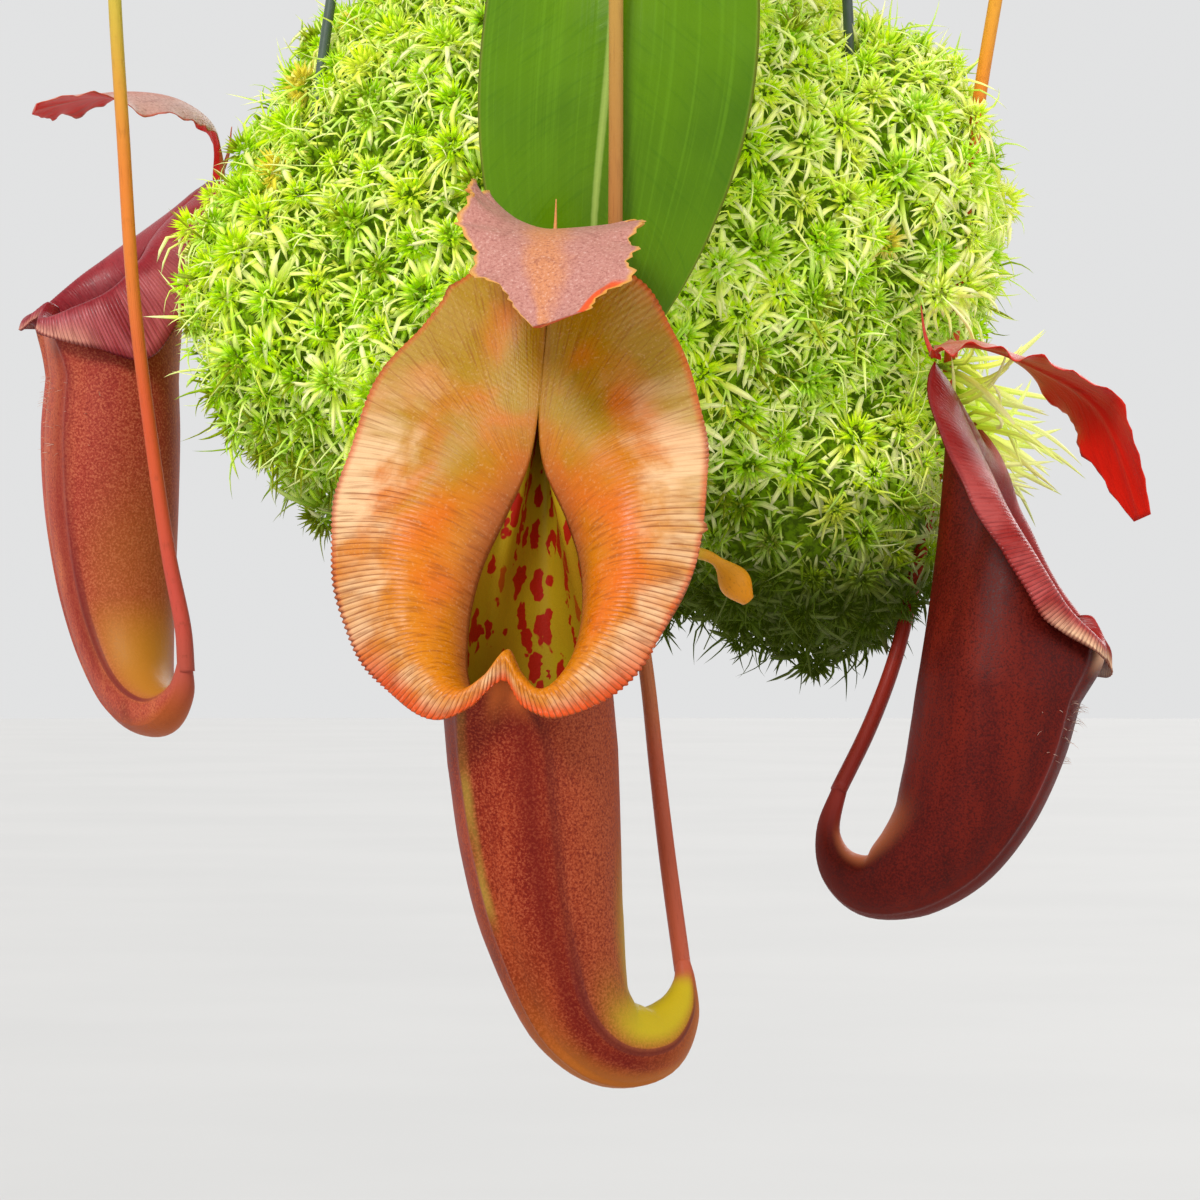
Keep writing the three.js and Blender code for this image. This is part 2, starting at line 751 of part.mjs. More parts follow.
// Heads spread evenly over the ball by turning each one on by the golden angle
function mossBall(cutters) {
  const draw = seeded(41);
  const core = new THREE.IcosahedronGeometry(1, 3);
  core.deleteAttribute("normal");
  core.deleteAttribute("uv");
  const skin = mergeVertices(core, 1e-4);
  const p = skin.attributes.position;
  for (let i = 0; i < p.count; i += 1) {
    const at = mossPoint(v3(p.getX(i), p.getY(i), p.getZ(i)).normalize());
    p.setXYZ(i, at.x, at.y, at.z);
  }
  const pieces = [solidOf(skin)];
  const golden = Math.PI * (3 - Math.sqrt(5));
  for (let i = 0; i < mossHeads; i += 1) {
    const z = 1 - (2 * (i + 0.5)) / mossHeads;
    const turn = i * golden + (draw() - 0.5) * 0.25;
    const flat = Math.sqrt(1 - z * z);
    const direction = v3(Math.cos(turn) * flat, Math.sin(turn) * flat, z);
    const size = 0.85 + 0.3 * draw();
    const points = 5 + Math.floor(draw() * 2);
    const head = mossHead(mossPoint(direction, -1), mossNormal(direction), draw() * 6, size, points);
    pieces.push(solidOf(head));
  }
  let ball = wasm.Manifold.union(pieces);
  cutters.forEach((cutter) => {
    ball = ball.subtract(solidOf(cutter));
  });
  return geometryOf(largest(ball));
}

// The biggest body of a solid: loose scraps that a cut leaves are dropped
function largest(solid) {
  const bodies = solid.decompose();
  return bodies.reduce((best, body) => (body.volume() > best.volume() ? body : best));
}

// Basket and what it holds

const bowlProfile = (grow, top) => [
  [0, -basketDepth - grow],
  [34 + grow * 0.6, -basketDepth - grow],
  [56 + grow, -basketDepth + 14],
  [66 + grow, -30],
  [rimRadius + grow, top],
  [0, top],
];

function ribPath(angle) {
  const across = (r, z) => v3(Math.cos(angle) * r, Math.sin(angle) * r, z);
  return [
    across(rimRadius, 0),
    across(66, -26),
    across(57, -49),
    across(38, -basketDepth),
    across(0, -basketDepth - 1),
  ];
}

function wireRing(radius, height, wire, segments, sides) {
  const profile = [];
  for (let i = 0; i <= sides; i += 1) {
    const angle = (i / sides) * Math.PI * 2;
    profile.push([radius + Math.cos(angle) * wire, height + Math.sin(angle) * wire]);
  }
  return lathe(profile, segments);
}

function basket() {
  const pieces = [
    wireRing(rimRadius, 0, rimWireRadius, 24, 6),
    wireRing(64.6, -32, basketWireRadius, 18, 4),
    wireRing(48.6, -basketDepth + 8, basketWireRadius, 16, 4),
  ];
  for (let i = 0; i < basketRibs; i += 1) {
    pieces.push(tube(ribPath((i / basketRibs) * Math.PI * 2), basketWireRadius, 5, 4));
  }
  return geometryOf(wasm.Manifold.union(pieces.map(solidOf)));
}

function stemHole(low, high) {
  const geometry = new THREE.CylinderGeometry(stemRadius + 0.6, stemRadius + 0.6, high - low, 12);
  geometry.rotateX(Math.PI / 2);
  geometry.translate(0, 0, (high + low) / 2);
  return geometry;
}

function growingMedium() {
  const body = solidOf(lathe(bowlProfile(-4.2, -6), 24));
  return geometryOf(body.subtract(solidOf(stemHole(-30, 40))));
}

function stem() {
  const points = [v3(0, 0, -28), v3(0.3, 0, 20), v3(0, 0, 60), v3(0, 0, 110), v3(0, 0, stemTop)];
  return tube(points, (t) => stemRadius * (1 - 0.3 * smooth(t, 0.8, 1)) - 0.2, 8, 10);
}

// Hanger

// Wire from its sleeve at the top down to a clip bent round the rim
function hangerWirePoints(angle, bend) {
  const across = (r, z) => v3(Math.cos(angle) * r, Math.sin(angle) * r, z);
  const outside = rimRadius + clipBend;
  const inside = rimRadius - clipBend;
  return [
    across(inside, 3),
    across(inside, 0),
    across(inside + 0.9, -2.2),
    across(rimRadius, -clipBend),
    across(outside - 0.9, -2.2),
    across(outside, 1),
    across(outside - 1.2, 14),
    across(outside - bend, 52),
    across(outside * 0.5, 190),
    across(3.6, hangHeight - sleeveLength - shankLength - hookBend + 2),
    across(2.6, hangHeight - shankLength - hookBend - sleeveLength * 0.4),
  ];
}

function hangerWire(angle, bend, extra = 0) {
  const points = hangerWirePoints(angle, bend);
  const last = points.length - 1;
  const clip = evenStops(14).map((t) => (t * 6) / last);
  const run = [6.5, 7, 7.5, 8, 8.5, 9, 9.5, 10].map((k) => k / last);
  return tube(points, wireRadius + extra, [...clip, ...run], 6);
}

// Hook: a round bend on a straight shank, crimped into the sleeve that the wires enter
function hook() {
  const points = [v3(0, 0, -hookBend - shankLength - sleeveLength * 0.3)];
  points.push(v3(0, 0, -hookBend - shankLength * 0.6));
  points.push(v3(0, 0, -hookBend * 1.9));
  const turns = [-80, -45, 0, 45, 90, 135, 180, 215];
  turns.forEach((degrees) => {
    const angle = radians(180 - degrees);
    points.push(v3(Math.cos(angle) * hookBend, 0, Math.sin(angle) * hookBend - hookBend));
  });
  const bendWire = solidOf(tube(points, hookWireRadius, 24, 8));
  const sleeve = new THREE.CylinderGeometry(sleeveRadius, sleeveRadius, sleeveLength, 16);
  sleeve.rotateX(Math.PI / 2);
  sleeve.translate(0, 0, -hookBend - shankLength - sleeveLength / 2);
  return { bendWire, sleeve: solidOf(sleeve) };
}

// Assembly

const object = new THREE.Group();
const plant = new THREE.Group();
plant.position.z = -hangHeight;
object.add(plant);

function addTo(group, name, geometry, material) {
  const mesh = new THREE.Mesh(geometry, material);
  mesh.name = name;
  group.add(mesh);
  return mesh;
}

// Where each hanger wire stands round the rim, and how far it leans in above the moss
const hangerWires = {
  left: { angle: radians(210), bend: 7 },
  right: { angle: radians(330), bend: 2.5 },
  back: { angle: radians(90), bend: 5 },
};

const { bendWire, sleeve } = hook();
let hookSolid = bendWire.add(sleeve);
Object.values(hangerWires).forEach(({ angle, bend }) => {
  const cutter = hangerWire(angle, bend, gap);
  cutter.translate(0, 0, -hangHeight);
  hookSolid = hookSolid.subtract(solidOf(cutter));
});
addTo(object, "hanger_hook", geometryOf(largest(hookSolid)), coatedWire());
Object.entries(hangerWires).forEach(([name, { angle, bend }]) => {
  addTo(plant, `hanger_wire_${name}`, hangerWire(angle, bend), coatedWire());
});

addTo(plant, "basket", basket(), coatedWire());
addTo(plant, "growing_medium", growingMedium(), rootBrown());
addTo(plant, "stem", stem(), stemGreen());

Object.entries(leafSpecs).forEach(([name, spec]) => {
  addTo(plant, `leaf_${name}`, leaf(spec), leafGreen());
});

const mossCutters = [lathe(bowlProfile(clipBend + wireRadius + 0.7, 5), 24), stemHole(0, 90)];
Object.values(hangerWires).forEach(({ angle, bend }) => {
  mossCutters.push(hangerWire(angle, bend, 0.5));
});
const rightTendril = [v3(...leafSpecs.right.blade.at(-1)), ...leafSpecs.right.tendril.map((p) => v3(...p))];
mossCutters.push(tube(rightTendril, tendrilRadius + 1.0, 40, 8));
addTo(plant, "moss", mossBall(mossCutters), mossGreen());

Object.entries(pitcherSpecs).forEach(([name, spec]) => {
  addTo(plant, `cup_${name}`, cup(spec), finish(spec.skin, 0.5));
  addTo(plant, `peristome_${name}`, peristome(spec), finish(spec.rim, 0.35));
  addTo(plant, `lid_${name}`, lid(spec), finish(spec.cover, 0.55));
});

export default object;
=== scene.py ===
# Hanging pitcher plant: leaves, tendrils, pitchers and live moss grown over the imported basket.
# Shapes are worked out in millimetres from the basket's rim and put into the frame in metres.
import math
import bpy
import numpy as np
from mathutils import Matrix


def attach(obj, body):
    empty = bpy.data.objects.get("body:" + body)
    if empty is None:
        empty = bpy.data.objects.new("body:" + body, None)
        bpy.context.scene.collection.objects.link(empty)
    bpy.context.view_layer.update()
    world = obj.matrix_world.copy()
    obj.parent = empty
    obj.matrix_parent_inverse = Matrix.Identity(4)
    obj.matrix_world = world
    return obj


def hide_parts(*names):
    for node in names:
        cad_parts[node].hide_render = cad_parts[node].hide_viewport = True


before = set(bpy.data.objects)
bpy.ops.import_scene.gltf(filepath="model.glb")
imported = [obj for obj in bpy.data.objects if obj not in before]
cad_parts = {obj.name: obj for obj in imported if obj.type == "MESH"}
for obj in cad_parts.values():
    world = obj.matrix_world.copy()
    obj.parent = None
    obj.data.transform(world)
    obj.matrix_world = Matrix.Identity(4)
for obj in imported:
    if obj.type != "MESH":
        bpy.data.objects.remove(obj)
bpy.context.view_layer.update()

rimDrop = 380.0  # the basket's rim below the hook's bight
mm = 0.001


# camera, floor and light

view = {
    "place": (0.0043, -1.3, -0.476),
    "lens": 162.5,
    "sensorWidth": 36,
    "floorHeight": -0.70,
    "floorRadius": 9,
    "floorColours": ((0.53, 0.528, 0.522), (0.55, 0.547, 0.54)),
    "worldColour": (0.95, 0.955, 0.96),
    "worldStrength": 0.8,
}

lamps = [
    # name, side that it shines from, strength, softness in degrees, colour
    ("keyLamp", (-0.5, -0.95, 0.85), 2.0, 18, (1.0, 0.975, 0.94)),
    ("fillLamp", (0.95, -0.8, 0.2), 0.55, 50, (0.95, 0.97, 1.0)),
    ("backLamp", (0.5, 1.0, 0.6), 1.0, 35, (1.0, 1.0, 1.0)),
]


def putCamera():
    # looks level along +Y, as the photograph's does
    data = bpy.data.cameras.new("camera")
    data.lens = view["lens"]
    data.sensor_width = view["sensorWidth"]
    camera = bpy.data.objects.new("camera", data)
    camera.location = view["place"]
    camera.rotation_euler = (math.radians(90), 0, 0)
    bpy.context.scene.collection.objects.link(camera)
    bpy.context.scene.camera = camera


def putLamps():
    # far lamps, so that the whole floor is lit alike; each is turned from its side to the plant
    for name, side, strength, softness, colour in lamps:
        data = bpy.data.lights.new(name, "SUN")
        data.energy = strength
        data.angle = math.radians(softness)
        data.color = colour
        lamp = bpy.data.objects.new(name, data)
        lamp.location = side
        x, y, z = side
        lamp.rotation_euler = (math.atan2(math.hypot(x, y), z), 0, math.atan2(-y, -x) - math.pi / 2)
        bpy.context.scene.collection.objects.link(lamp)
    world = bpy.data.worlds.new("softRoom")
    world.use_nodes = True
    back = world.node_tree.nodes["Background"]
    back.inputs["Color"].default_value = (*view["worldColour"], 1)
    back.inputs["Strength"].default_value = view["worldStrength"]
    bpy.context.scene.world = world
    bpy.context.scene.view_settings.view_transform = "Standard"


putCamera()
putLamps()
print("camera and lamps in place")


# small mathematics on whole arrays

def unit(v):
    # each vector over its length
    return v / np.maximum(np.linalg.norm(v, axis=-1, keepdims=True), 1e-9)


def ease(x, low, high):
    # 3s^2 - 2s^3 of the share s of the way from low to high
    s = np.clip((np.asarray(x, float) - low) / (high - low), 0, 1)
    return s * s * (3 - 2 * s)


def blend(a, b, share):
    # a + (b - a) share
    return a + (b - a) * share


def hump(x, at, width):
    # exp(-((x - at) / width)^2)
    return np.exp(-(((x - at) / width) ** 2))


def angleHump(angle, at, width):
    # the same on a circle, from the nearest way round
    away = np.arctan2(np.sin(angle - at), np.cos(angle - at))
    return np.exp(-((away / width) ** 2))


def cubic(b, c, m1, m2, w):
    # cubic that leaves b with slope m1 and reaches c with slope m2
    return b + m1 * w + (3 * (c - b) - 2 * m1 - m2) * w ** 2 + (2 * (b - c) + m1 + m2) * w ** 3


def openCurve(points, t, power=0.5):
    # Catmull-Rom curve through the points, its knots apart by distance to that power
    p = np.asarray(points, float)
    ends = np.vstack([2 * p[0] - p[1], p, 2 * p[-1] - p[-2]])
    at = np.clip(np.asarray(t, float), 0, 1) * (len(p) - 1)
    k = np.minimum(at.astype(int), len(p) - 2)
    w = (at - k)[..., None]
    a, b, c, d = ends[k], ends[k + 1], ends[k + 2], ends[k + 3]
    knots = [np.linalg.norm(q - r, axis=-1, keepdims=True).clip(1e-6) ** power
             for q, r in ((a, b), (b, c), (c, d))]
    k0, k1, k2 = knots
    m1 = ((b - a) / k0 - (c - a) / (k0 + k1) + (c - b) / k1) * k1
    m2 = ((c - b) / k1 - (d - b) / (k1 + k2) + (d - c) / k2) * k1
    return cubic(b, c, m1, m2, w)


def closedCurve(points, u):
    # Catmull-Rom loop of even knots: the slope at a point is half the step between its neighbours
    p = np.asarray(points, float)
    at = (np.asarray(u, float) % 1) * len(p)
    k = at.astype(int) % len(p)
    w = (at - np.floor(at))[..., None]
    a, b, c, d = (p[(k + step) % len(p)] for step in (-1, 0, 1, 2))
    return cubic(b, c, (c - a) / 2, (d - b) / 2, w)


def framesAlong(points, reference):
    # tangent by differences, side = reference less its share along the tangent, normal = side x tangent
    tangent = unit(np.gradient(points, axis=0))
    reference = np.asarray(reference, float)
    side = unit(reference - (tangent @ reference)[:, None] * tangent)
    return tangent, side, np.cross(side, tangent)


def wander(t, seed, count, fall):
    # sum of seeded sines sin(2 pi n t + phase) / n^fall, a smooth repeatable unevenness
    draw = np.random.default_rng(seed)
    total = np.zeros_like(np.asarray(t, float))
    for n in range(1, count + 1):
        total += np.sin(2 * np.pi * n * t + draw.uniform(0, 2 * np.pi)) / n ** fall
    return total


# meshes

def gridFaces(rows, columns, wrapRows=False, wrapColumns=False):
    # quads between neighbours of a grid, stepping round where it wraps
    i = np.arange(rows if wrapRows else rows - 1)[:, None]
    j = np.arange(columns if wrapColumns else columns - 1)[None, :]
    i2 = (i + 1) % rows
    j2 = (j + 1) % columns
    corners = [i * columns + j, i * columns + j2, i2 * columns + j2, i2 * columns + j]
    return np.stack(np.broadcast_arrays(*corners), -1).reshape(-1, 4)


def loft(rings):
    # rings of equal count joined by quads, each end closed by a fan to its mean point
    m, n, _ = rings.shape
    points = np.vstack([rings.reshape(-1, 3), rings[0].mean(0), rings[-1].mean(0)])
    j = np.arange(n)
    k = (j + 1) % n
    first = np.stack([np.full(n, m * n), k, j], 1)
    last = np.stack([np.full(n, m * n + 1), (m - 1) * n + j, (m - 1) * n + k], 1)
    return points, [gridFaces(m, n, wrapColumns=True), np.vstack([first, last])]


def onLoft(values, shape):
    # values spread over all rings and their points, with their means at the end fans' hubs
    full = np.broadcast_to(values, (*shape, *values.shape[2:]))
    flat = full.reshape(-1, *full.shape[2:])
    return np.concatenate([flat, full[0].mean(0)[None], full[-1].mean(0)[None]])


def joined(*bodies):
    # several bodies as one list of points and one of faces, whose numbers shift by the points before
    starts = np.cumsum([0] + [len(points) for points, _ in bodies])
    faces = [group + start for start, (_, groups) in zip(starts, bodies) for group in groups]
    return np.vstack([points for points, _ in bodies]), faces


def enclosed(points, faces):
    # signed volume: a sixth of the sum of a . (b x c) over triangles
    total = 0.0
    for group in faces:
        for k in range(1, group.shape[1] - 1):
            a, b, c = points[group[:, 0]], points[group[:, k]], points[group[:, k + 1]]
            total += np.einsum("ij,ij->", a, np.cross(b, c))
    return total


def putPiece(name, points, faces, material, slotName, stands, marks=None):
    # the mesh at the origin, its place in its points; faces turned outwards, marks as attributes
    faces = [group for group in faces if len(group)]
    if enclosed(points, faces) < 0:
        faces = [group[:, ::-1] for group in faces]
    mesh = bpy.data.meshes.new(name)
    mesh.vertices.add(len(points))
    place = (points - (0, 0, rimDrop)) * mm
    mesh.vertices.foreach_set("co", place.astype(np.float32).ravel())
    corners = np.concatenate([group.ravel() for group in faces]).astype(np.int32)
    widths = np.concatenate([np.full(len(group), group.shape[1]) for group in faces])
    mesh.loops.add(len(corners))
    mesh.loops.foreach_set("vertex_index", corners)
    mesh.polygons.add(len(widths))
    starts = np.concatenate([[0], np.cumsum(widths)[:-1]]).astype(np.int32)
    mesh.polygons.foreach_set("loop_start", starts)
    mesh.polygons.foreach_set("use_smooth", np.ones(len(widths), bool))
    mesh.update(calc_edges=True)
    mesh.validate()
    for mark, values in (marks or {}).items():
        values = np.asarray(values, np.float32)
        kind = "FLOAT" if values.ndim == 1 else "FLOAT_VECTOR"
        data = mesh.attributes.new(mark, kind, "POINT").data
        data.foreach_set("value" if values.ndim == 1 else "vector", values.ravel())
    mesh.materials.append(material)
    piece = bpy.data.objects.new(name, mesh)
    bpy.context.scene.collection.objects.link(piece)
    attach(piece, "root")
    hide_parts(*stands)


def sweep(points, radius, sides, reference=(0.3, 0.2, 1)):
    # circle of the radius round each point, square to the path
    _, side, normal = framesAlong(points, reference)
    angle = np.linspace(0, 2 * np.pi, sides, endpoint=False)[None, :, None]
    radius = np.broadcast_to(np.asarray(radius, float), len(points))[:, None, None]
    ring = np.cos(angle) * side[:, None] + np.sin(angle) * normal[:, None]
    return points[:, None] + ring * radius


# material nodes

class Shade:
    # a material's node tree with short calls for the nodes that the finishes below use

    def __init__(self, name, roughness, **sockets):
        self.material = bpy.data.materials.new(name)
        self.material.use_nodes = True
        self.nodes = self.material.node_tree.nodes
        self.shader = self.nodes["Principled BSDF"]
        self.set(Roughness=roughness, **sockets)

    def set(self, **sockets):
        # the shader's own sockets by name, an underscore standing for a space
        for socket, value in sockets.items():
            self.feed(self.shader.inputs[socket.replace("_", " ")], value)

    def feed(self, socket, value):
        # a link from another node, or a fixed number or colour
        if isinstance(value, bpy.types.NodeSocket):
            self.material.node_tree.links.new(value, socket)
        elif isinstance(value, tuple) and len(value) == 3 and socket.type == "RGBA":
            socket.default_value = (*value, 1)
        else:
            socket.default_value = value

    def add(self, kind, settings=None, **inputs):
        # a node of a kind with its settings and what goes into it
        node = self.nodes.new("ShaderNode" + kind)
        for key, value in (settings or {}).items():
            setattr(node, key, value)
        for key, value in inputs.items():
            self.feed(node.inputs[key], value)
        return node

    def part(self, vector, axis):
        # x, y or z of a vector
        return self.add("SeparateXYZ", Vector=vector).outputs[axis]

    def mark(self, name, axis=None):
        # a value that the mesh carries, or one of the three parts of a vector
        node = self.add("Attribute", {"attribute_name": name})
        return node.outputs["Fac"] if axis is None else self.part(node.outputs["Vector"], axis)

    def place(self, scale=(1, 1, 1)):
        # the point in metres, times the scale
        return self.add("Mapping", Scale=scale, Vector=self.add("TexCoord").outputs["Object"]).outputs[0]

    def vector(self, x, y, z=0.0):
        # three values as one vector
        return self.add("CombineXYZ", X=x, Y=y, Z=z).outputs[0]

    def noise(self, where, scale, detail, rough=0.55, bend=0.0):
        # cloud of values about 0.5, its grains 1 / scale apart
        return self.add("TexNoise", Vector=where, Scale=scale, Detail=detail, Roughness=rough,
                        Distortion=bend).outputs["Fac"]

    def streaks(self, x, xScale, y, yScale, scale=1.0, detail=2, rough=0.55):
        # noise over two values with a scale each, which stretches its grains into lines
        return self.noise(self.vector(self.times(x, xScale), self.times(y, yScale)), scale, detail, rough)

    def cells(self, where, scale, output):
        # random cells: the distance to the nearest one's point, or that cell's own colour
        return self.add("TexVoronoi", Vector=where, Scale=scale).outputs[output]

    def ramp(self, value, stops, smooth=True):
        # the value looked up between stops of place and colour, or of place and grey
        node = self.add("ValToRGB", Fac=value)
        ramp = node.color_ramp
        ramp.interpolation = "EASE" if smooth else "LINEAR"
        while len(ramp.elements) < len(stops):
            ramp.elements.new(0.5)
        for element, (at, colour) in zip(ramp.elements, stops):
            element.position = at
            element.color = (*(colour if isinstance(colour, tuple) else (colour,) * 3), 1)
        return node.outputs["Color"]

    def fade(self, value, start, end, last=1.0, first=0.0):
        # eases from first to last while the value goes from start to end
        return self.ramp(value, [(start, first), (end, last)])

    def calc(self, kind, a, b=0.0):
        # a kind of arithmetic with one or two values
        node = self.add("Math", {"operation": kind})
        self.feed(node.inputs[0], a)
        self.feed(node.inputs[1], b)
        return node.outputs[0]

    def times(self, product, *others):
        # product of all the values
        for other in others:
            product = self.calc("MULTIPLY", product, other)
        return product

    def plus(self, a, b):
        # a + b
        return self.calc("ADD", a, b)

    def mix(self, a, b, share):
        # a + (b - a) share of two colours, which have the seventh and eighth socket of this node
        node = self.add("Mix", {"data_type": "RGBA"})
        for index, value in ((0, share), (6, a), (7, b)):
            self.feed(node.inputs[index], value)
        return node.outputs[2]

    def layers(self, colour, *coats):
        # each coat's colour laid over what is there by its share
        for over, share in coats:
            colour = self.mix(colour, over, share)
        return colour

    def bump(self, height, strength, distance, under=None):
        # slopes from the height in metres, over those of another bump
        node = self.add("Bump", Height=height, Strength=strength, Distance=distance)
        if under is not None:
            self.feed(node.inputs["Normal"], under)
        return node.outputs["Normal"]


def rgb(r, g, b):
    # display colour 0-255 to linear light: ((c + 0.055) / 1.055)^2.4
    share = (np.array([r, g, b]) / 255 + 0.055) / 1.055
    return tuple(float(v) for v in share ** 2.4)


# hanger

hanger = {
    "wireRadius": 1.25,
    "hookRadius": 1.7,
    "hookBend": 14.0,
    "shankLength": 34.0,
    "sleeveRadius": 5.5,
    "sleeveLength": 16.0,
    "rimRadius": 70.0,
    "clipBend": 3.25,
    "wires": {"left": (210, 7.0), "right": (330, 2.5), "back": (90, 5.0)},
    "dark": rgb(52, 66, 56),
    "colour": rgb(74, 92, 78),
    "worn": rgb(118, 134, 112),
}


def coatedWireFinish():
    # grey-green coat with darker and worn patches
    s = Shade("coatedWire", 0.42, Coat_Weight=0.25, Coat_Roughness=0.3)
    where = s.place()
    stops = [(0.3, hanger["dark"]), (0.55, hanger["colour"]), (0.8, hanger["worn"])]
    s.set(Base_Color=s.ramp(s.noise(where, 60, 5), stops),
          Roughness=s.fade(s.noise(where, 240, 3), 0.3, 0.7, 0.58, 0.34),
          Normal=s.bump(s.noise(where, 420, 3), 0.25, 0.0002))
    return s.material


def hangerWirePoints(angle, bend):
    # up the clip round the rim, over the moss and in to the sleeve, in the wire's upright plane
    rim, clip, sleeve = hanger["rimRadius"], hanger["clipBend"], hanger["sleeveLength"]
    outside, inside = rim + clip, rim - clip
    sleeveTop = rimDrop - hanger["shankLength"] - hanger["hookBend"]
    rows = [(inside, 3), (inside, 0), (inside + 0.9, -2.2), (rim, -clip), (outside - 0.9, -2.2), (outside, 1),
            (outside - 1.2, 14), (outside - bend, 52), (outside * 0.5, 190),
            (3.6, sleeveTop - sleeve + 2), (2.6, sleeveTop - sleeve * 0.4)]
    r, z = np.array(rows, float).T
    return np.stack([np.cos(angle) * r, np.sin(angle) * r, z], 1)


def makeHanger(material):
    # three wires; hook: up the shank and round its bend, its end rounded by sqrt(1 - s^2)
    for name, (degrees, bend) in hanger["wires"].items():
        angle = math.radians(degrees)
        stops = np.concatenate([np.linspace(0, 0.6, 60, endpoint=False), np.linspace(0.6, 1, 80)])
        path = openCurve(hangerWirePoints(angle, bend), stops)
        flatSide = (-math.sin(angle), math.cos(angle), 0)
        putPiece("hangerWire_" + name, *loft(sweep(path, hanger["wireRadius"], 12, flatSide)), material,
                 "coated_wire", ["hanger_wire_" + name])
    bend, shank, sleeve = hanger["hookBend"], hanger["shankLength"], hanger["sleeveLength"]
    rows = [(0, -bend - shank - sleeve * 0.3), (0, -bend - shank * 0.6), (0, -bend * 1.9)]
    for degrees in (-80, -45, 0, 45, 90, 135, 180, 215):
        angle = math.radians(180 - degrees)
        rows.append((math.cos(angle) * bend, math.sin(angle) * bend - bend))
    x, z = np.array(rows, float).T
    run = np.linspace(0, 1, 150)
    path = openCurve(np.stack([x, x * 0, z + rimDrop], 1), run)
    tip = np.sqrt(np.clip(1 - ease(run, 0.985, 1.0) ** 2, 0.05, 1))
    wire = sweep(path, hanger["hookRadius"] * tip, 16, (0, 1, 0))
    # sleeve: a pressed collar, its radius dipping at two crimps
    rise = np.linspace(0, 1, 60)
    radius = hanger["sleeveRadius"] * (1 - 0.16 * hump(rise, 0.33, 0.09) - 0.16 * hump(rise, 0.67, 0.09))
    radius -= 0.7 * (1 - np.sqrt(1 - np.abs(2 * rise - 1) ** 8))
    line = np.stack([rise * 0, rise * 0, rimDrop - bend - shank - rise * sleeve], 1)
    hook = joined(loft(wire), loft(sweep(line, radius, 40, (1, 0, 0))))
    putPiece("hangerHook", *hook, material, "coated_wire", ["hanger_hook"])


# leaves and tendrils

bladeThickness = 0.9
tendrilRadius = 1.6
leafSeed = 30

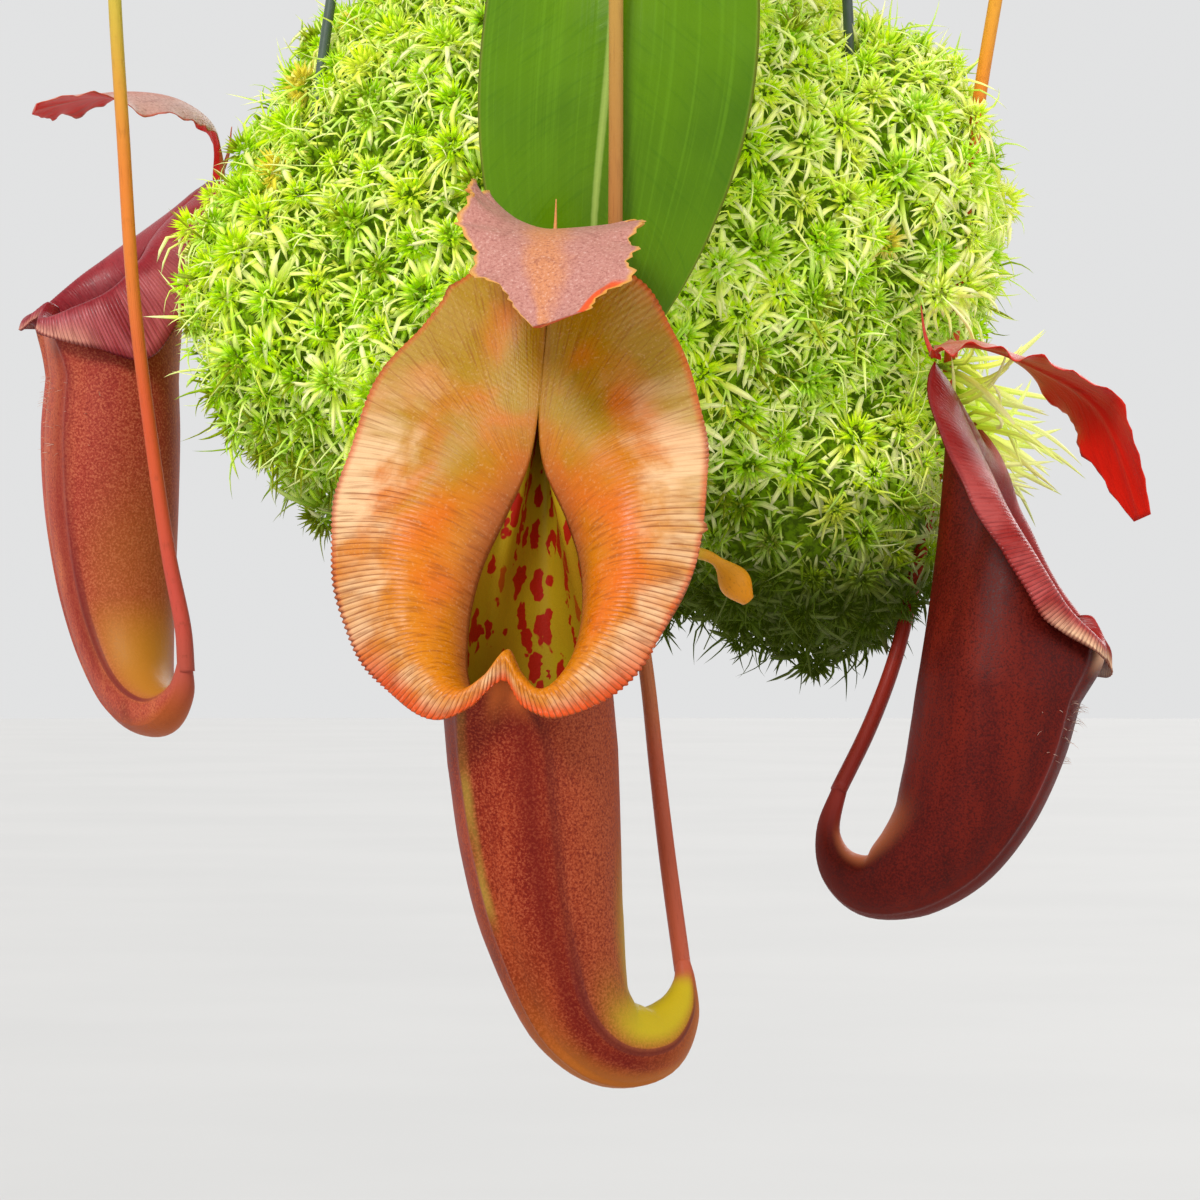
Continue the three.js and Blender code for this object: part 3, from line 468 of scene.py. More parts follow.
leaves = {
    "centre": {
        "blade": [(1, -5.6, 150), (3, -38, 168), (6, -78, 158), (8, -106, 122), (7.8, -115, 90)],
        "tendril": [(7.8, -114.6, 60), (7.8, -113.6, 10), (7.8, -113.2, -36), (9.5, -113.4, -75),
                    (14.8, -114.6, -114.5), (16.6, -116, -131.4), (19, -118, -152), (21.9, -121.6, -173.4)],
        "side": (-1, 0, 0), "halfWidth": 30, "foot": 6, "fold": (10, 10), "endRadius": 1.9, "into": 3.2,
        "tints": [rgb(190, 152, 72), rgb(176, 116, 60), rgb(180, 108, 62), rgb(180, 84, 56), rgb(176, 82, 56)],
    },
    "left": {
        "blade": [(-5.6, 1, 118), (-38, 8, 138), (-80, 2, 130), (-106, -7, 102), (-112, -10, 78)],
        "tendril": [(-111.4, -10, 50), (-109.3, -10, 15.2), (-106.7, -10.5, -23.6), (-102.4, -12, -57.6),
                    (-98, -13.5, -86), (-94.6, -14.6, -103), (-94.1, -14.6, -110.2)],
        "side": (0, -1, 0), "halfWidth": 29, "foot": 6, "fold": (10, 12), "endRadius": 2.1, "into": 2.8,
        "tints": [rgb(206, 184, 70), rgb(226, 130, 54), rgb(210, 88, 50), rgb(196, 76, 62), rgb(176, 78, 62)],
    },
    "right": {
        "blade": [(5.6, 1, 132), (40, 10, 150), (76, 2, 140), (98, -20, 110), (103, -28, 82)],
        "tendril": [(97.6, -30, 48), (93.6, -30, 24), (90.4, -30, 0), (88.4, -30, -20), (84, -31, -60),
                    (78, -34, -90), (73.3, -37, -109), (67.2, -43, -124.6), (60.8, -49.5, -137)],
        "side": (0, 1, 0), "halfWidth": 28, "foot": 6, "fold": (12, 10), "endRadius": 1.9, "into": 3.8,
        "tints": [rgb(232, 160, 54), rgb(226, 96, 30), rgb(204, 66, 26), rgb(166, 50, 36), rgb(150, 50, 40)],
    },
    "front": {
        "blade": [(0, -5.6, 92), (3, -38, 109), (7, -76, 99), (8, -100, 68), (6.5, -110, 30), (3, -109.5, -8),
                  (1, -105, -48)],
        "tendril": [(0, -103, -64), (8, -100, -77), (20, -94, -84), (30, -87, -87), (37.5, -83, -96)],
        "side": (-1, 0, 0), "halfWidth": 33, "foot": 6, "fold": (2, 30), "lean": 1.8, "tip": 0.97,
        "endRadius": 1.0, "bud": 2.6,
        "tints": [rgb(128, 176, 40), rgb(128, 180, 40), rgb(140, 184, 44), rgb(220, 150, 34),
                  rgb(238, 150, 24)],
    },
    "back_left": {
        "blade": [(-3, 5, 106), (-22, 36, 126), (-42, 72, 118), (-52, 92, 88), (-54, 98, 60)],
        "tendril": [(-55, 101, 30), (-52, 104, -5), (-44, 106, -28), (-34, 108, -30), (-30, 109, -18)],
        "side": (0.85, 0.52, 0), "halfWidth": 28, "foot": 6, "fold": (10, 10), "endRadius": 1.0, "bud": 4,
        "tints": [rgb(180, 190, 80), rgb(200, 160, 66), rgb(206, 120, 56), rgb(206, 110, 50),
                  rgb(214, 120, 52)],
    },
    "back_right": {
        "blade": [(3, 5, 124), (24, 38, 146), (46, 76, 138), (57, 98, 106), (60, 104, 74)],
        "tendril": [(61, 107, 40), (60, 110, 8), (54, 112, -18), (45, 113, -24), (39, 113, -14)],
        "side": (0.85, -0.52, 0), "halfWidth": 27, "foot": 6, "fold": (10, 10), "endRadius": 1.0, "bud": 4,
        "tints": [rgb(180, 190, 80), rgb(204, 150, 64), rgb(206, 110, 52), rgb(200, 98, 46), rgb(210, 112, 50)],
    },
    "upper": {
        "blade": [(-3.9, 2.6, 162), (-20, 14, 196), (-42, 28, 222), (-66, 44, 232), (-84, 56, 224)],
        "tendril": [(-92, 61, 210), (-96, 64, 190), (-92, 62, 176), (-85, 58, 178)],
        "side": (0.55, 0.83, 0), "halfWidth": 20, "foot": 5, "fold": (-14, -14), "endRadius": 0.9, "bud": 2,
        "tints": [rgb(180, 196, 84), rgb(188, 180, 74), rgb(200, 170, 66), rgb(204, 160, 60),
                  rgb(210, 160, 60)],
    },
}


def leafFinish(name, tints):
    # blade green with a pale midrib, long veins and fine ones that cross between them; beyond run 1
    # the tendril's own colours
    s = Shade("leaf_" + name, 0.36, Coat_Weight=0.05, Coat_Roughness=0.25, Specular_IOR_Level=0.14)
    across, run, where = s.mark("across"), s.mark("run"), s.place()
    reach = s.calc("ABSOLUTE", across)
    longVeins = s.streaks(across, 26.0, run, 2.2)
    crossVeins = s.streaks(across, 3.0, s.plus(s.times(run, 150.0), s.times(reach, -16.0)), 1.0)
    green = s.layers(
        s.ramp(s.noise(where, 14, 3),
               [(0.3, rgb(66, 106, 0)), (0.5, rgb(86, 128, 0)), (0.72, rgb(108, 146, 2))]),
        (rgb(108, 156, 24), s.fade(longVeins, 0.5, 0.75, 0.3)),
        (rgb(56, 102, 0), s.fade(crossVeins, 0.5, 0.75, 0.25)),
        (rgb(170, 196, 96), s.ramp(reach, [(0.0, 0.8), (0.014, 0.6), (0.03, 0.0)])),
        (rgb(150, 150, 50), s.fade(reach, 0.965, 1.0, 0.6)))
    stops = [(0.0, rgb(120, 160, 50))] + [(0.12 + 0.22 * i, tint) for i, tint in enumerate(tints)]
    cord = s.mix(s.ramp(s.calc("SUBTRACT", run, 1.0), stops), rgb(110, 50, 26),
                 s.fade(s.streaks(across, 3.0, run, 24.0, 2.0, 4), 0.52, 0.8, 0.45))
    veins = s.plus(s.times(longVeins, 0.6), s.times(crossVeins, 0.4))
    s.set(Base_Color=s.mix(green, cord, s.fade(run, 0.94, 1.0)),
          Roughness=s.fade(s.noise(where, 90, 4), 0.3, 0.7, 0.42, 0.24),
          Normal=s.bump(veins, 0.35, 0.0006, s.bump(s.noise(where, 900, 2), 0.08, 0.0002)))
    return s.material


def bladeHalfWidth(t, spec):
    # widest sin(pi t^lean)^0.62, never under the clasping petiole near the foot
    body = spec["halfWidth"] * np.sin(np.pi * t ** spec.get("lean", 1.25)).clip(0) ** 0.62
    petiole = blend(spec["foot"], spec["foot"] * 0.55, ease(t, 0, 0.12))
    return np.maximum(body * ease(t, 0.02, 0.4), petiole * (1 - ease(t, 0.25, 0.5)))


def makeLeaf(name, spec, seed):
    # a flat oval section, bent at the midrib, that closes to a round tendril and runs on along it
    sides, rows, cordRows = 26, 70, 100
    t = np.linspace(0, 0.99, rows)
    blade = openCurve(spec["blade"], t)
    route = np.vstack([openCurve(spec["blade"], [1.0]), spec["tendril"]])
    route[-1] += unit(route[-1] - route[-2]) * spec.get("into", 0)
    v = np.linspace(0, 1, cordRows)
    cord = openCurve(route, v)
    path = np.vstack([blade, cord])
    _, side, normal = framesAlong(path, spec["side"])
    half = np.maximum(bladeHalfWidth(t, spec), tendrilRadius)
    half = blend(half, tendrilRadius, ease(t, spec.get("tip", 0.9), 0.985))
    swell = spec.get("bud", 0) * np.sin(np.pi * ease(v, 0.8, 1.04))
    radius = blend(tendrilRadius, spec["endRadius"], ease(v, 0.5, 1)) + swell
    half = np.concatenate([half, radius])[:, None]
    roundness = np.concatenate([ease(t, 0.93, 0.99), np.ones(cordRows)])[:, None]
    runs = np.concatenate([t, 1 + v])[:, None]
    onBlade = np.concatenate([ease(t, 0.05, 0.3), np.ones(cordRows)])[:, None]
    angle = np.linspace(np.pi, -np.pi, sides, endpoint=False)[None, :]
    across, over = np.cos(angle), np.sin(angle)
    reach = half * np.sign(across) * np.abs(across) ** 0.9
    fold = np.radians(np.where(across < 0, spec["fold"][0], spec["fold"][1])) * onBlade
    bent = np.sqrt(reach ** 2 + 4) - 2
    ruffle = wander(runs, seed, 7, 0.6) * 0.7 * np.abs(across) ** 3 * ease(half, 6, 20)
    wall = bladeThickness * 0.5 * (0.55 + 0.45 * (1 - np.abs(across))) * np.sign(over) * np.abs(over) ** 0.5
    keel = hump(reach, 0, 1.5) * np.where(over < 0, -0.9, -0.35)
    x = blend(reach * np.cos(fold), across * half, roundness)
    y = blend(-bent * np.sin(fold) + wall + keel + ruffle, over * half, roundness)
    rings = path[:, None] + side[:, None] * x[..., None] + normal[:, None] * y[..., None]
    marks = {"across": onLoft(across, x.shape), "run": onLoft(runs, x.shape)}
    putPiece("leaf_and_tendril_" + name, *loft(rings), leafFinish(name, spec["tints"]), "leaf",
             ["leaf_" + name], marks)


# pitchers

cupWall = 1.1
rimThickness = 1.0
toothSeed = 41
hair = {"seed": 53, "lowest": 0.86, "spread": 0.4, "tousle": 0.3, "length": (1.4, 3.4), "width": 0.2,
        "colour": rgb(226, 190, 170)}

# half of a mouth from its front notch to its neck: inner half width and height, outer half width
# and height, depth of the inner edge
mouthRows = [
    (0, 0.09, 0, 0.0, 0.5), (2.9, 0.04, 5.5, -0.075, 3.5), (7.2, 0.0, 13, -0.1, 6),
    (10.3, 0.06, 22.5, -0.03, 8.5), (11.8, 0.15, 31, 0.1, 10), (12.1, 0.25, 37, 0.26, 10),
    (10.6, 0.37, 40, 0.45, 9.5), (6.7, 0.49, 39.5, 0.63, 8), (1.6, 0.61, 36, 0.81, 3.2),
    (0.02, 0.74, 29, 0.98, 0.6), (0.02, 0.88, 17.5, 1.12, 0.3), (0, 1.0, 0, 1.15, 0.3),
]

# A lid's path gives forward, up and across from the neck. Its edge rows give the left half width
# and lift, the same on the right, and the twist in degrees.
pitchers = {
    "centre": {
        "axis": (-10.5, -138, 0), "facing": -13, "lip": (24, -113), "neck": (-15, -34), "bow": 2,
        "mouthScale": 1, "flare": (1.1, 0.95), "crest": 3.2, "roll": 5, "wave": 0.9, "floor": 5,
        "body": [(22.2, -122, -174.5, 2.0), (22.6, -123.5, -179, 2.5), (20.8, -127, -185.7, 5.2),
                 (15.2, -131.5, -191.2, 8.2), (7.2, -135, -191, 10), (0.2, -137, -184.4, 11.8),
                 (-5.6, -138, -165, 15.4), (-8.4, -138, -147.5, 17.4), (-10.2, -138, -129.5, 18.4)],
        "wings": (37, -23), "ridge": 0.07, "droops": [], "bulge": 0, "hairs": 0,
        "points": [(0.443, 1.3, 0.007), (0.727, 1.5, 0.005)],
        "lid": {"path": [(-1.2, 0.1, 0), (-2, 4, 0), (5, 5.5, 1), (18, 3, 3), (31, -6, 5), (40, -17, 7)],
                "edge": [(1.6, 0, 1.6, 0, 0), (14, 8, 13, 4, 0), (19, 10, 19, 2, 0), (17, 5, 21, 0, 0),
                         (11, 1, 20, -1, 0), (1.6, 0, 9, 4, 0)],
                "teeth": 30, "lobes": 0.9, "ruffle": 1.0, "thickness": 0.6},
        "skin": {"deep": rgb(102, 14, 2), "main": rgb(130, 32, 10), "light": rgb(158, 58, 26),
                 "far": rgb(160, 70, 34), "turn": rgb(184, 164, 22), "low": rgb(184, 104, 28),
                 "turnFrom": 0.3, "turnUp": 0.65, "fleck": rgb(190, 98, 62), "band": rgb(112, 38, 34),
                 "cord": rgb(178, 84, 58), "inside": rgb(168, 142, 16), "blotch": rgb(160, 26, 6),
                 "ridge": rgb(168, 152, 58), "seam": rgb(92, 24, 14), "lip": rgb(206, 104, 44)},
        "rim": {"throat": rgb(170, 96, 52), "low": rgb(206, 122, 4), "high": rgb(166, 128, 4),
                "margin": rgb(240, 200, 152), "groove": rgb(132, 62, 16), "edge": rgb(218, 76, 16),
                "patch": rgb(222, 92, 14), "tip": rgb(222, 80, 20), "paleAt": (0.56, 0.84)},
        "ribs": {"pitch": 1.5, "lift": 0.17, "samples": 5, "rows": 30},
        "cover": {"top": rgb(190, 130, 118), "middle": rgb(206, 134, 92), "under": rgb(226, 84, 30),
                  "edge": rgb(232, 170, 74), "vein": rgb(136, 74, 66), "corner": 1.0},
    },
    "right": {
        "axis": (97, -58, 0), "facing": 78, "lip": (20.5, -104), "neck": (-11.5, -50), "bow": 1,
        "mouthScale": 0.72, "flare": (0.8, 0.8), "crest": 2.4, "roll": 5, "wave": 0.6, "floor": 5,
        "body": [(60, -50, -138.4, 2.0), (56.9, -51.5, -149.8, 2.8), (59.3, -53.5, -157.2, 4.8),
                 (65.6, -56, -161.2, 7.4), (73.6, -57.5, -159, 10.6), (82.7, -58, -151.4, 13.8),
                 (89.1, -58, -140.3, 16.4), (93.7, -58, -127, 18.2), (96.3, -58, -115.5, 18.9)],
        "wings": (31, -31), "ridge": 0.05, "bulge": 4.4, "hairs": 46,
        "droops": [(1, 13, 0.26, 0.36), (1, -13, 0.76, 0.1)], "points": [(0.93, 1.6, 0.006)],
        "lid": {"path": [(-1.2, 1, 0), (-0.5, 3, 0), (8, 4, 0), (22, -1, 0), (37, -11, 0), (47, -36, 0)],
                "edge": [(1.6, 0, 1.6, 0, 0), (6, 0, 6, 0, 8), (11, 0, 11, 0, 8), (12, -1, 12, -1, -14),
                         (12, -2, 13, -2, -36), (3, 0, 3, 0, -48)],
                "teeth": 26, "lobes": 0.25, "ruffle": 1.1, "thickness": 0.6},
        "skin": {"deep": rgb(54, 5, 1), "main": rgb(86, 11, 3), "light": rgb(112, 24, 8),
                 "far": rgb(78, 10, 2), "turn": rgb(226, 130, 84), "low": rgb(102, 22, 8),
                 "turnFrom": 0.66, "turnUp": 0.0, "fleck": rgb(112, 28, 12), "band": rgb(66, 8, 6),
                 "cord": rgb(150, 50, 40), "inside": rgb(110, 70, 24), "blotch": rgb(96, 12, 6),
                 "ridge": rgb(140, 34, 22), "seam": rgb(66, 8, 6), "lip": rgb(232, 178, 140)},
        "rim": {"throat": rgb(104, 12, 8), "low": rgb(150, 28, 22), "high": rgb(128, 18, 14),
                "margin": rgb(186, 80, 76), "groove": rgb(96, 16, 18), "edge": rgb(112, 18, 16),
                "patch": rgb(150, 30, 26), "tip": rgb(236, 190, 150), "paleAt": (0.35, 0.6)},
        "ribs": {"pitch": 1.1, "lift": 0.11, "samples": 4, "rows": 20},
        "cover": {"top": rgb(196, 112, 106), "middle": rgb(190, 84, 70), "under": rgb(212, 24, 2),
                  "edge": rgb(214, 44, 26), "vein": rgb(170, 20, 8), "corner": 0.0},
    },
    "left": {
        "axis": (-115, 25, 0), "facing": -66, "lip": (17.5, -27), "neck": (-21.5, 3), "bow": 0,
        "mouthScale": 0.72, "flare": (0.72, 0.72), "crest": 2.4, "roll": 9, "wave": 0.5, "floor": 5,
        "body": [(-94.2, -14.5, -111, 2.2), (-95.2, -13, -117.5, 3.2), (-99.4, -6, -122.4, 5.2),
                 (-104, 3, -121.8, 7.2), (-108, 12, -116.8, 9.4), (-111.4, 20, -105.8, 12),
                 (-113.6, 24, -92, 14.2), (-114.8, 25, -74, 16), (-115, 25, -56, 16.6),
                 (-114.6, 25, -42, 15.8)],
        "wings": (31, -31), "ridge": 0.06, "bulge": 0.6, "hairs": 40,
        "droops": [(1, 15, 0.42, 0.36)], "points": [],
        "lid": {"path": [(-1, -0.2, 0), (-0.5, 7, 0), (1.5, 13.5, 0), (10, 19, 0), (24, 20.3, 0),
                         (38, 18, 0), (47, 15.5, 0)],
                "edge": [(1.6, 0, 1.6, 0, 0), (1.6, 0, 1.6, 0, 0), (7, -1, 7, -2, -8), (12, -3, 12, -4, -12),
                         (13, -3, 13, -4, -10), (11, -2, 11, -1, 8), (3, 0, 3, 0, 22)],
                "teeth": 28, "lobes": 0.2, "ruffle": 1.0, "thickness": 0.6},
        "skin": {"deep": rgb(128, 36, 26), "main": rgb(174, 68, 50), "light": rgb(204, 108, 70),
                 "far": rgb(156, 52, 42), "turn": rgb(182, 120, 34), "low": rgb(174, 84, 30),
                 "turnFrom": 0.6, "turnUp": 0.3, "fleck": rgb(206, 118, 84), "band": rgb(110, 28, 30),
                 "cord": rgb(176, 78, 62), "inside": rgb(140, 110, 40), "blotch": rgb(120, 20, 12),
                 "ridge": rgb(190, 96, 92), "seam": rgb(110, 28, 30), "lip": rgb(206, 128, 110)},
        "rim": {"throat": rgb(120, 22, 28), "low": rgb(140, 30, 40), "high": rgb(150, 44, 54),
                "margin": rgb(190, 92, 98), "groove": rgb(90, 12, 22), "edge": rgb(130, 26, 34),
                "patch": rgb(170, 62, 66), "tip": rgb(206, 140, 120), "paleAt": (0.5, 0.8)},
        "ribs": {"pitch": 1.1, "lift": 0.11, "samples": 4, "rows": 20},
        "cover": {"top": rgb(200, 150, 140), "middle": rgb(196, 128, 112), "under": rgb(226, 26, 4),
                  "edge": rgb(196, 84, 60), "vein": rgb(140, 84, 80), "corner": 0.0},
    },
}


def mouthRun(spec, u):
    # both edges of the mouth at share u of the way round, as (across, height share, depth)
    rows = mouthRows + mouthRows[-2:0:-1]
    hand = np.array([-1] * len(mouthRows) + [1] * (len(mouthRows) - 2))
    table = np.array(rows, float)
    inner = closedCurve(np.stack([hand * table[:, 0], table[:, 1], -table[:, 4]], 1), u)
    outer = closedCurve(np.stack([hand * table[:, 2], table[:, 3], table[:, 3] * 0], 1), u)
    wide = np.where(outer[..., 0] < 0, spec["flare"][0], spec["flare"][1])
    inner[..., 0] *= spec["mouthScale"]
    outer[..., 0] *= spec["mouthScale"] * wide
    return inner, outer


def mouthAxes(spec):
    # forward, across and out of the mouth, which leans from its lip to its neck
    facing = math.radians(spec["facing"])
    forward = np.array([math.sin(facing), -math.cos(facing), 0])
    across = np.cross([0, 0, 1], forward)
    (lipF, lipZ), (neckF, neckZ) = spec["lip"], spec["neck"]
    length = math.hypot(neckF - lipF, neckZ - lipZ)
    out = forward * (neckZ - lipZ) / length + np.array([0, 0, (lipF - neckF) / length])
    return forward, across, out


def mouthPlace(spec, x, h, n):
    # axis + forward and height from lip to neck by h, x across, n - 4 bow h (1 - h) out
    forward, across, out = mouthAxes(spec)
    (lipF, lipZ), (neckF, neckZ) = spec["lip"], spec["neck"]
    x, h, n = (np.asarray(value, float)[..., None] for value in (x, h, n))
    bow = spec["bow"] * 4 * h * (1 - h)
    return (np.array(spec["axis"]) + forward * blend(lipF, neckF, h)
            + np.array([0, 0, 1.0]) * blend(lipZ, neckZ, h) + across * x + out * (n - bow))


def rimFlat(spec, u, t):
    # across and height share of the face at spread t^1.35 from the inner to the outer edge
    inner, outer = mouthRun(spec, u)
    spread = t ** 1.35
    return blend(inner[..., 0], outer[..., 0], spread), blend(inner[..., 1], outer[..., 1], spread)


def rimFace(spec, u, t):
    # trumpet: rise inner (1 - t)^2.3 + crest sin(pi t)^1.4 - roll t^4, waved at the margin, its crest
    # lower near the neck; each droop lowers one side by depth t^2 round its height
    inner, outer = mouthRun(spec, u)
    wave = np.sin(u * np.pi * 18) * spec["wave"] * t * t
    roll = spec["roll"] * ease(np.abs(outer[..., 0]) / spec["mouthScale"], 8, 32)
    crest = spec["crest"] * (1 - 0.6 * ease(inner[..., 1], 0.4, 0.75))
    rise = inner[..., 2] * (1 - t) ** 2.3 + crest * np.sin(np.pi * t).clip(0) ** 1.4 - roll * t ** 4
    x, h = rimFlat(spec, u, t)
    face = mouthPlace(spec, x, h, rise + wave)
    for side, depth, at, width in spec["droops"]:
        onSide = ease(outer[..., 0] * side / spec["mouthScale"], 0, 14)
        face[..., 2] -= depth * t ** 2 * hump(outer[..., 1], at, width) * onSide
    return face


def rimBack(spec, u, t, depth):
    # the face set back square to itself
    step = 0.004
    u, t = np.broadcast_arrays(np.asarray(u, float), np.asarray(t, float))
    along = rimFace(spec, u + step, t) - rimFace(spec, u - step, t)
    across = rimFace(spec, u, np.minimum(t + step, 1)) - rimFace(spec, u, np.maximum(t - step, 0))
    normal = unit(np.cross(across, along))
    return rimFace(spec, u, t) + normal * np.asarray(depth, float)[..., None]


def evenRound(spec, count):
    # shares u that cut the outer edge into equal lengths, and the edge's whole length
    u = np.linspace(0, 1, 2001)
    edge = rimFace(spec, u, np.ones_like(u))
    length = np.concatenate([[0], np.cumsum(np.linalg.norm(np.diff(edge, axis=0), axis=1))])
    return np.interp(np.arange(count) / count * length[-1], length, u), length[-1]


def makeRim(name, spec, material):
    # ribs cos(2 pi ribs s) at even steps round the margin, strongest low and far out; they scallop
    # its edge, and slow folds bend it
    make = spec["ribs"]
    ribs = int(evenRound(spec, 8)[1] / make["pitch"])
    u = evenRound(spec, ribs * make["samples"])[0][:, None]
    share = np.arange(len(u)) / len(u)
    folds, gaps, chips = (wander(share, *row)[:, None]
                          for row in ((11, 14, 0.35), (23, 12, 0.2), (31, 16, 0.25)))
    phase = np.cos(2 * np.pi * (ribs * share + 0.05 * wander(share, 5, 9, 0.5)))[:, None]
    t = (np.linspace(0, 1, make["rows"]) ** 0.9)[None, :]
    low = 1 - ease(rimFlat(spec, u, t)[1], 0.2, 0.75)
    patches = 0.5 + 0.5 * np.sin(gaps * 2.2)
    strength = 0.1 + 0.9 * low * ease(t, 0.5, 0.85) + 0.55 * (1 - low) * patches * ease(t, 0.65, 0.95)
    fold = folds * 0.3
    face = rimBack(spec, u, t, -(phase * make["lift"] * strength + fold * ease(t, 0.35, 1)))
    outward = unit(face[:, -1:] - face[:, -4:-3])
    uneven = chips * 0.22
    for at, proud, width in spec["points"]:
        uneven = uneven + proud * np.maximum(1 - np.abs(u - at) / width, 0)
    scallop = phase * 0.22 * (0.35 + 0.65 * low)
    face = face + outward * (scallop * t ** 12 + uneven * t ** 6)[..., None]
    backT = np.linspace(1, 0, 7)[None, :]
    thick = rimThickness * (0.45 + 0.55 * np.sin(np.pi * backT).clip(0) ** 0.5)
    rings = np.concatenate([face, rimBack(spec, u, backT, thick - fold * ease(backT, 0.35, 1))], 1)
    across = np.concatenate([t, backT], 1)
    x, height = rimFlat(spec, u, across)
    marks = {"across": across, "height": height, "rib": phase * 0.5 + 0.5, "around": share[:, None],
             "fan": np.arctan2(x, (height - 0.5) * math.dist(spec["lip"], spec["neck"])),
             "back": np.concatenate([t * 0, backT * 0 + 1], 1)}
    marks = {key: np.broadcast_to(value, x.shape).ravel() for key, value in marks.items()}
    putPiece("ribbed_rim_" + name, rings.reshape(-1, 3), [gridFaces(*x.shape, True, True)], material,
             "peristome_" + name, ["peristome_" + name], marks)


def rimFinish(name, spec):
    # colours by how far out and how high on the mouth; streaks run along the ribs low down and fan
    # out from the mouth's peak high up; dark lines lie between the ribs where they stand out
    c = spec["rim"]
    s = Shade("peristome_" + name, 0.46, Coat_Weight=0.06, Coat_Roughness=0.3, Specular_IOR_Level=0.2)
    across, height, rib, fan, around, back = map(s.mark, ("across", "height", "rib", "fan", "around", "back"))
    where = s.place()
    cloudy = s.plus(height, s.times(s.noise(where, 30, 2, 0.5, 0.5), 0.55))
    # pale flare patches, broken by a slow noise round the margin: partly the margin's own cream colour, partly
    # painted sheen where the flare rolls back
    broken = s.fade(s.streaks(around, 34.0, across, 1.6, 1.0, 3, 0.6), 0.34, 0.62, 1.0, 0.1)
    ragged = s.plus(across, s.times(s.calc("SUBTRACT", s.noise(where, 130, 4), 0.5), 0.6))
    pale = s.times(s.fade(ragged, *c["paleAt"]), broken, s.fade(height, 0.62, 0.92, 0.12, 1.0), 0.86)
    # fine streaks, and the lines between the ribs
    high = s.fade(height, 0.42, 0.68)
    streak = s.plus(s.times(s.streaks(fan, 84.0, height, 7.0, 1.0, 3, 0.6), high),
                    s.times(s.streaks(around, 300.0, across, 5.0), s.calc("SUBTRACT", 1.0, high)))
    grain = s.noise(where, 1500, 2)
    upTo = s.plus(height, s.times(s.streaks(around, 34.0, across, 1.6, 2.0, 1), 0.9))
    line = s.times(s.fade(rib, 0.0, 0.28, 0.0, 0.85), s.fade(across, 0.42, 0.72),
                   s.fade(upTo, 0.9, 1.0, 0.2, 1.0))
    colour = s.layers(
        c["low"], (c["high"], s.fade(cloudy, 0.62, 0.98)),
        (c["patch"], s.fade(s.noise(where, 36, 3, 0.5, 0.3), 0.42, 0.7, 0.7)),
        # throat: browner near the inner edge, less so high up; partly its own colour, partly painted shade
        # where the face turns steeply into the mouth
        (c["throat"], s.times(s.fade(across, 0.02, 0.27, 0.0, 0.9), s.fade(height, 0.45, 0.7, 0.35, 1.0))),
        (c["margin"], pale),
        (c["tip"], s.times(s.fade(height, 0.0, 0.2, 0.0, 1.0), s.fade(across, 0.72, 0.98))),
        (c["edge"], s.fade(across, 0.955, 1.0, 0.7)),
        (c["groove"], s.fade(streak, 0.46, 0.72, 0.5)),
        (c["margin"], s.fade(streak, 0.2, 0.42, 0.0, 0.14)),
        (c["margin"], s.fade(grain, 0.55, 0.75, 0.18)),
        (c["groove"], line),
        (c["throat"], s.times(back, 0.55)))
    s.set(Base_Color=colour, Roughness=s.fade(grain, 0.3, 0.7, 0.46, 0.26),
          Normal=s.bump(streak, 0.35, 0.0004, s.bump(grain, 0.15, 0.0002)))
    return s.material


def bodyFrames(spec, t):
    # the body's axis with the mouth's front side carried down it by projection
    body = np.array(spec["body"], float)
    path = openCurve(body[:, :3], t)
    radius = openCurve(body[:, 3:], t, 0)[:, 0]
    tangent = unit(openCurve(body[:, :3], np.minimum(t + 0.004, 1))
                   - openCurve(body[:, :3], np.maximum(t - 0.004, 0)))
    front = mouthAxes(spec)[0]
    fronts = np.empty_like(path)
    for i in range(len(path) - 1, -1, -1):
        front = unit(front - (front @ tangent[i]) * tangent[i])
        fronts[i] = front
    return path, radius, fronts, np.cross(tangent, fronts), tangent


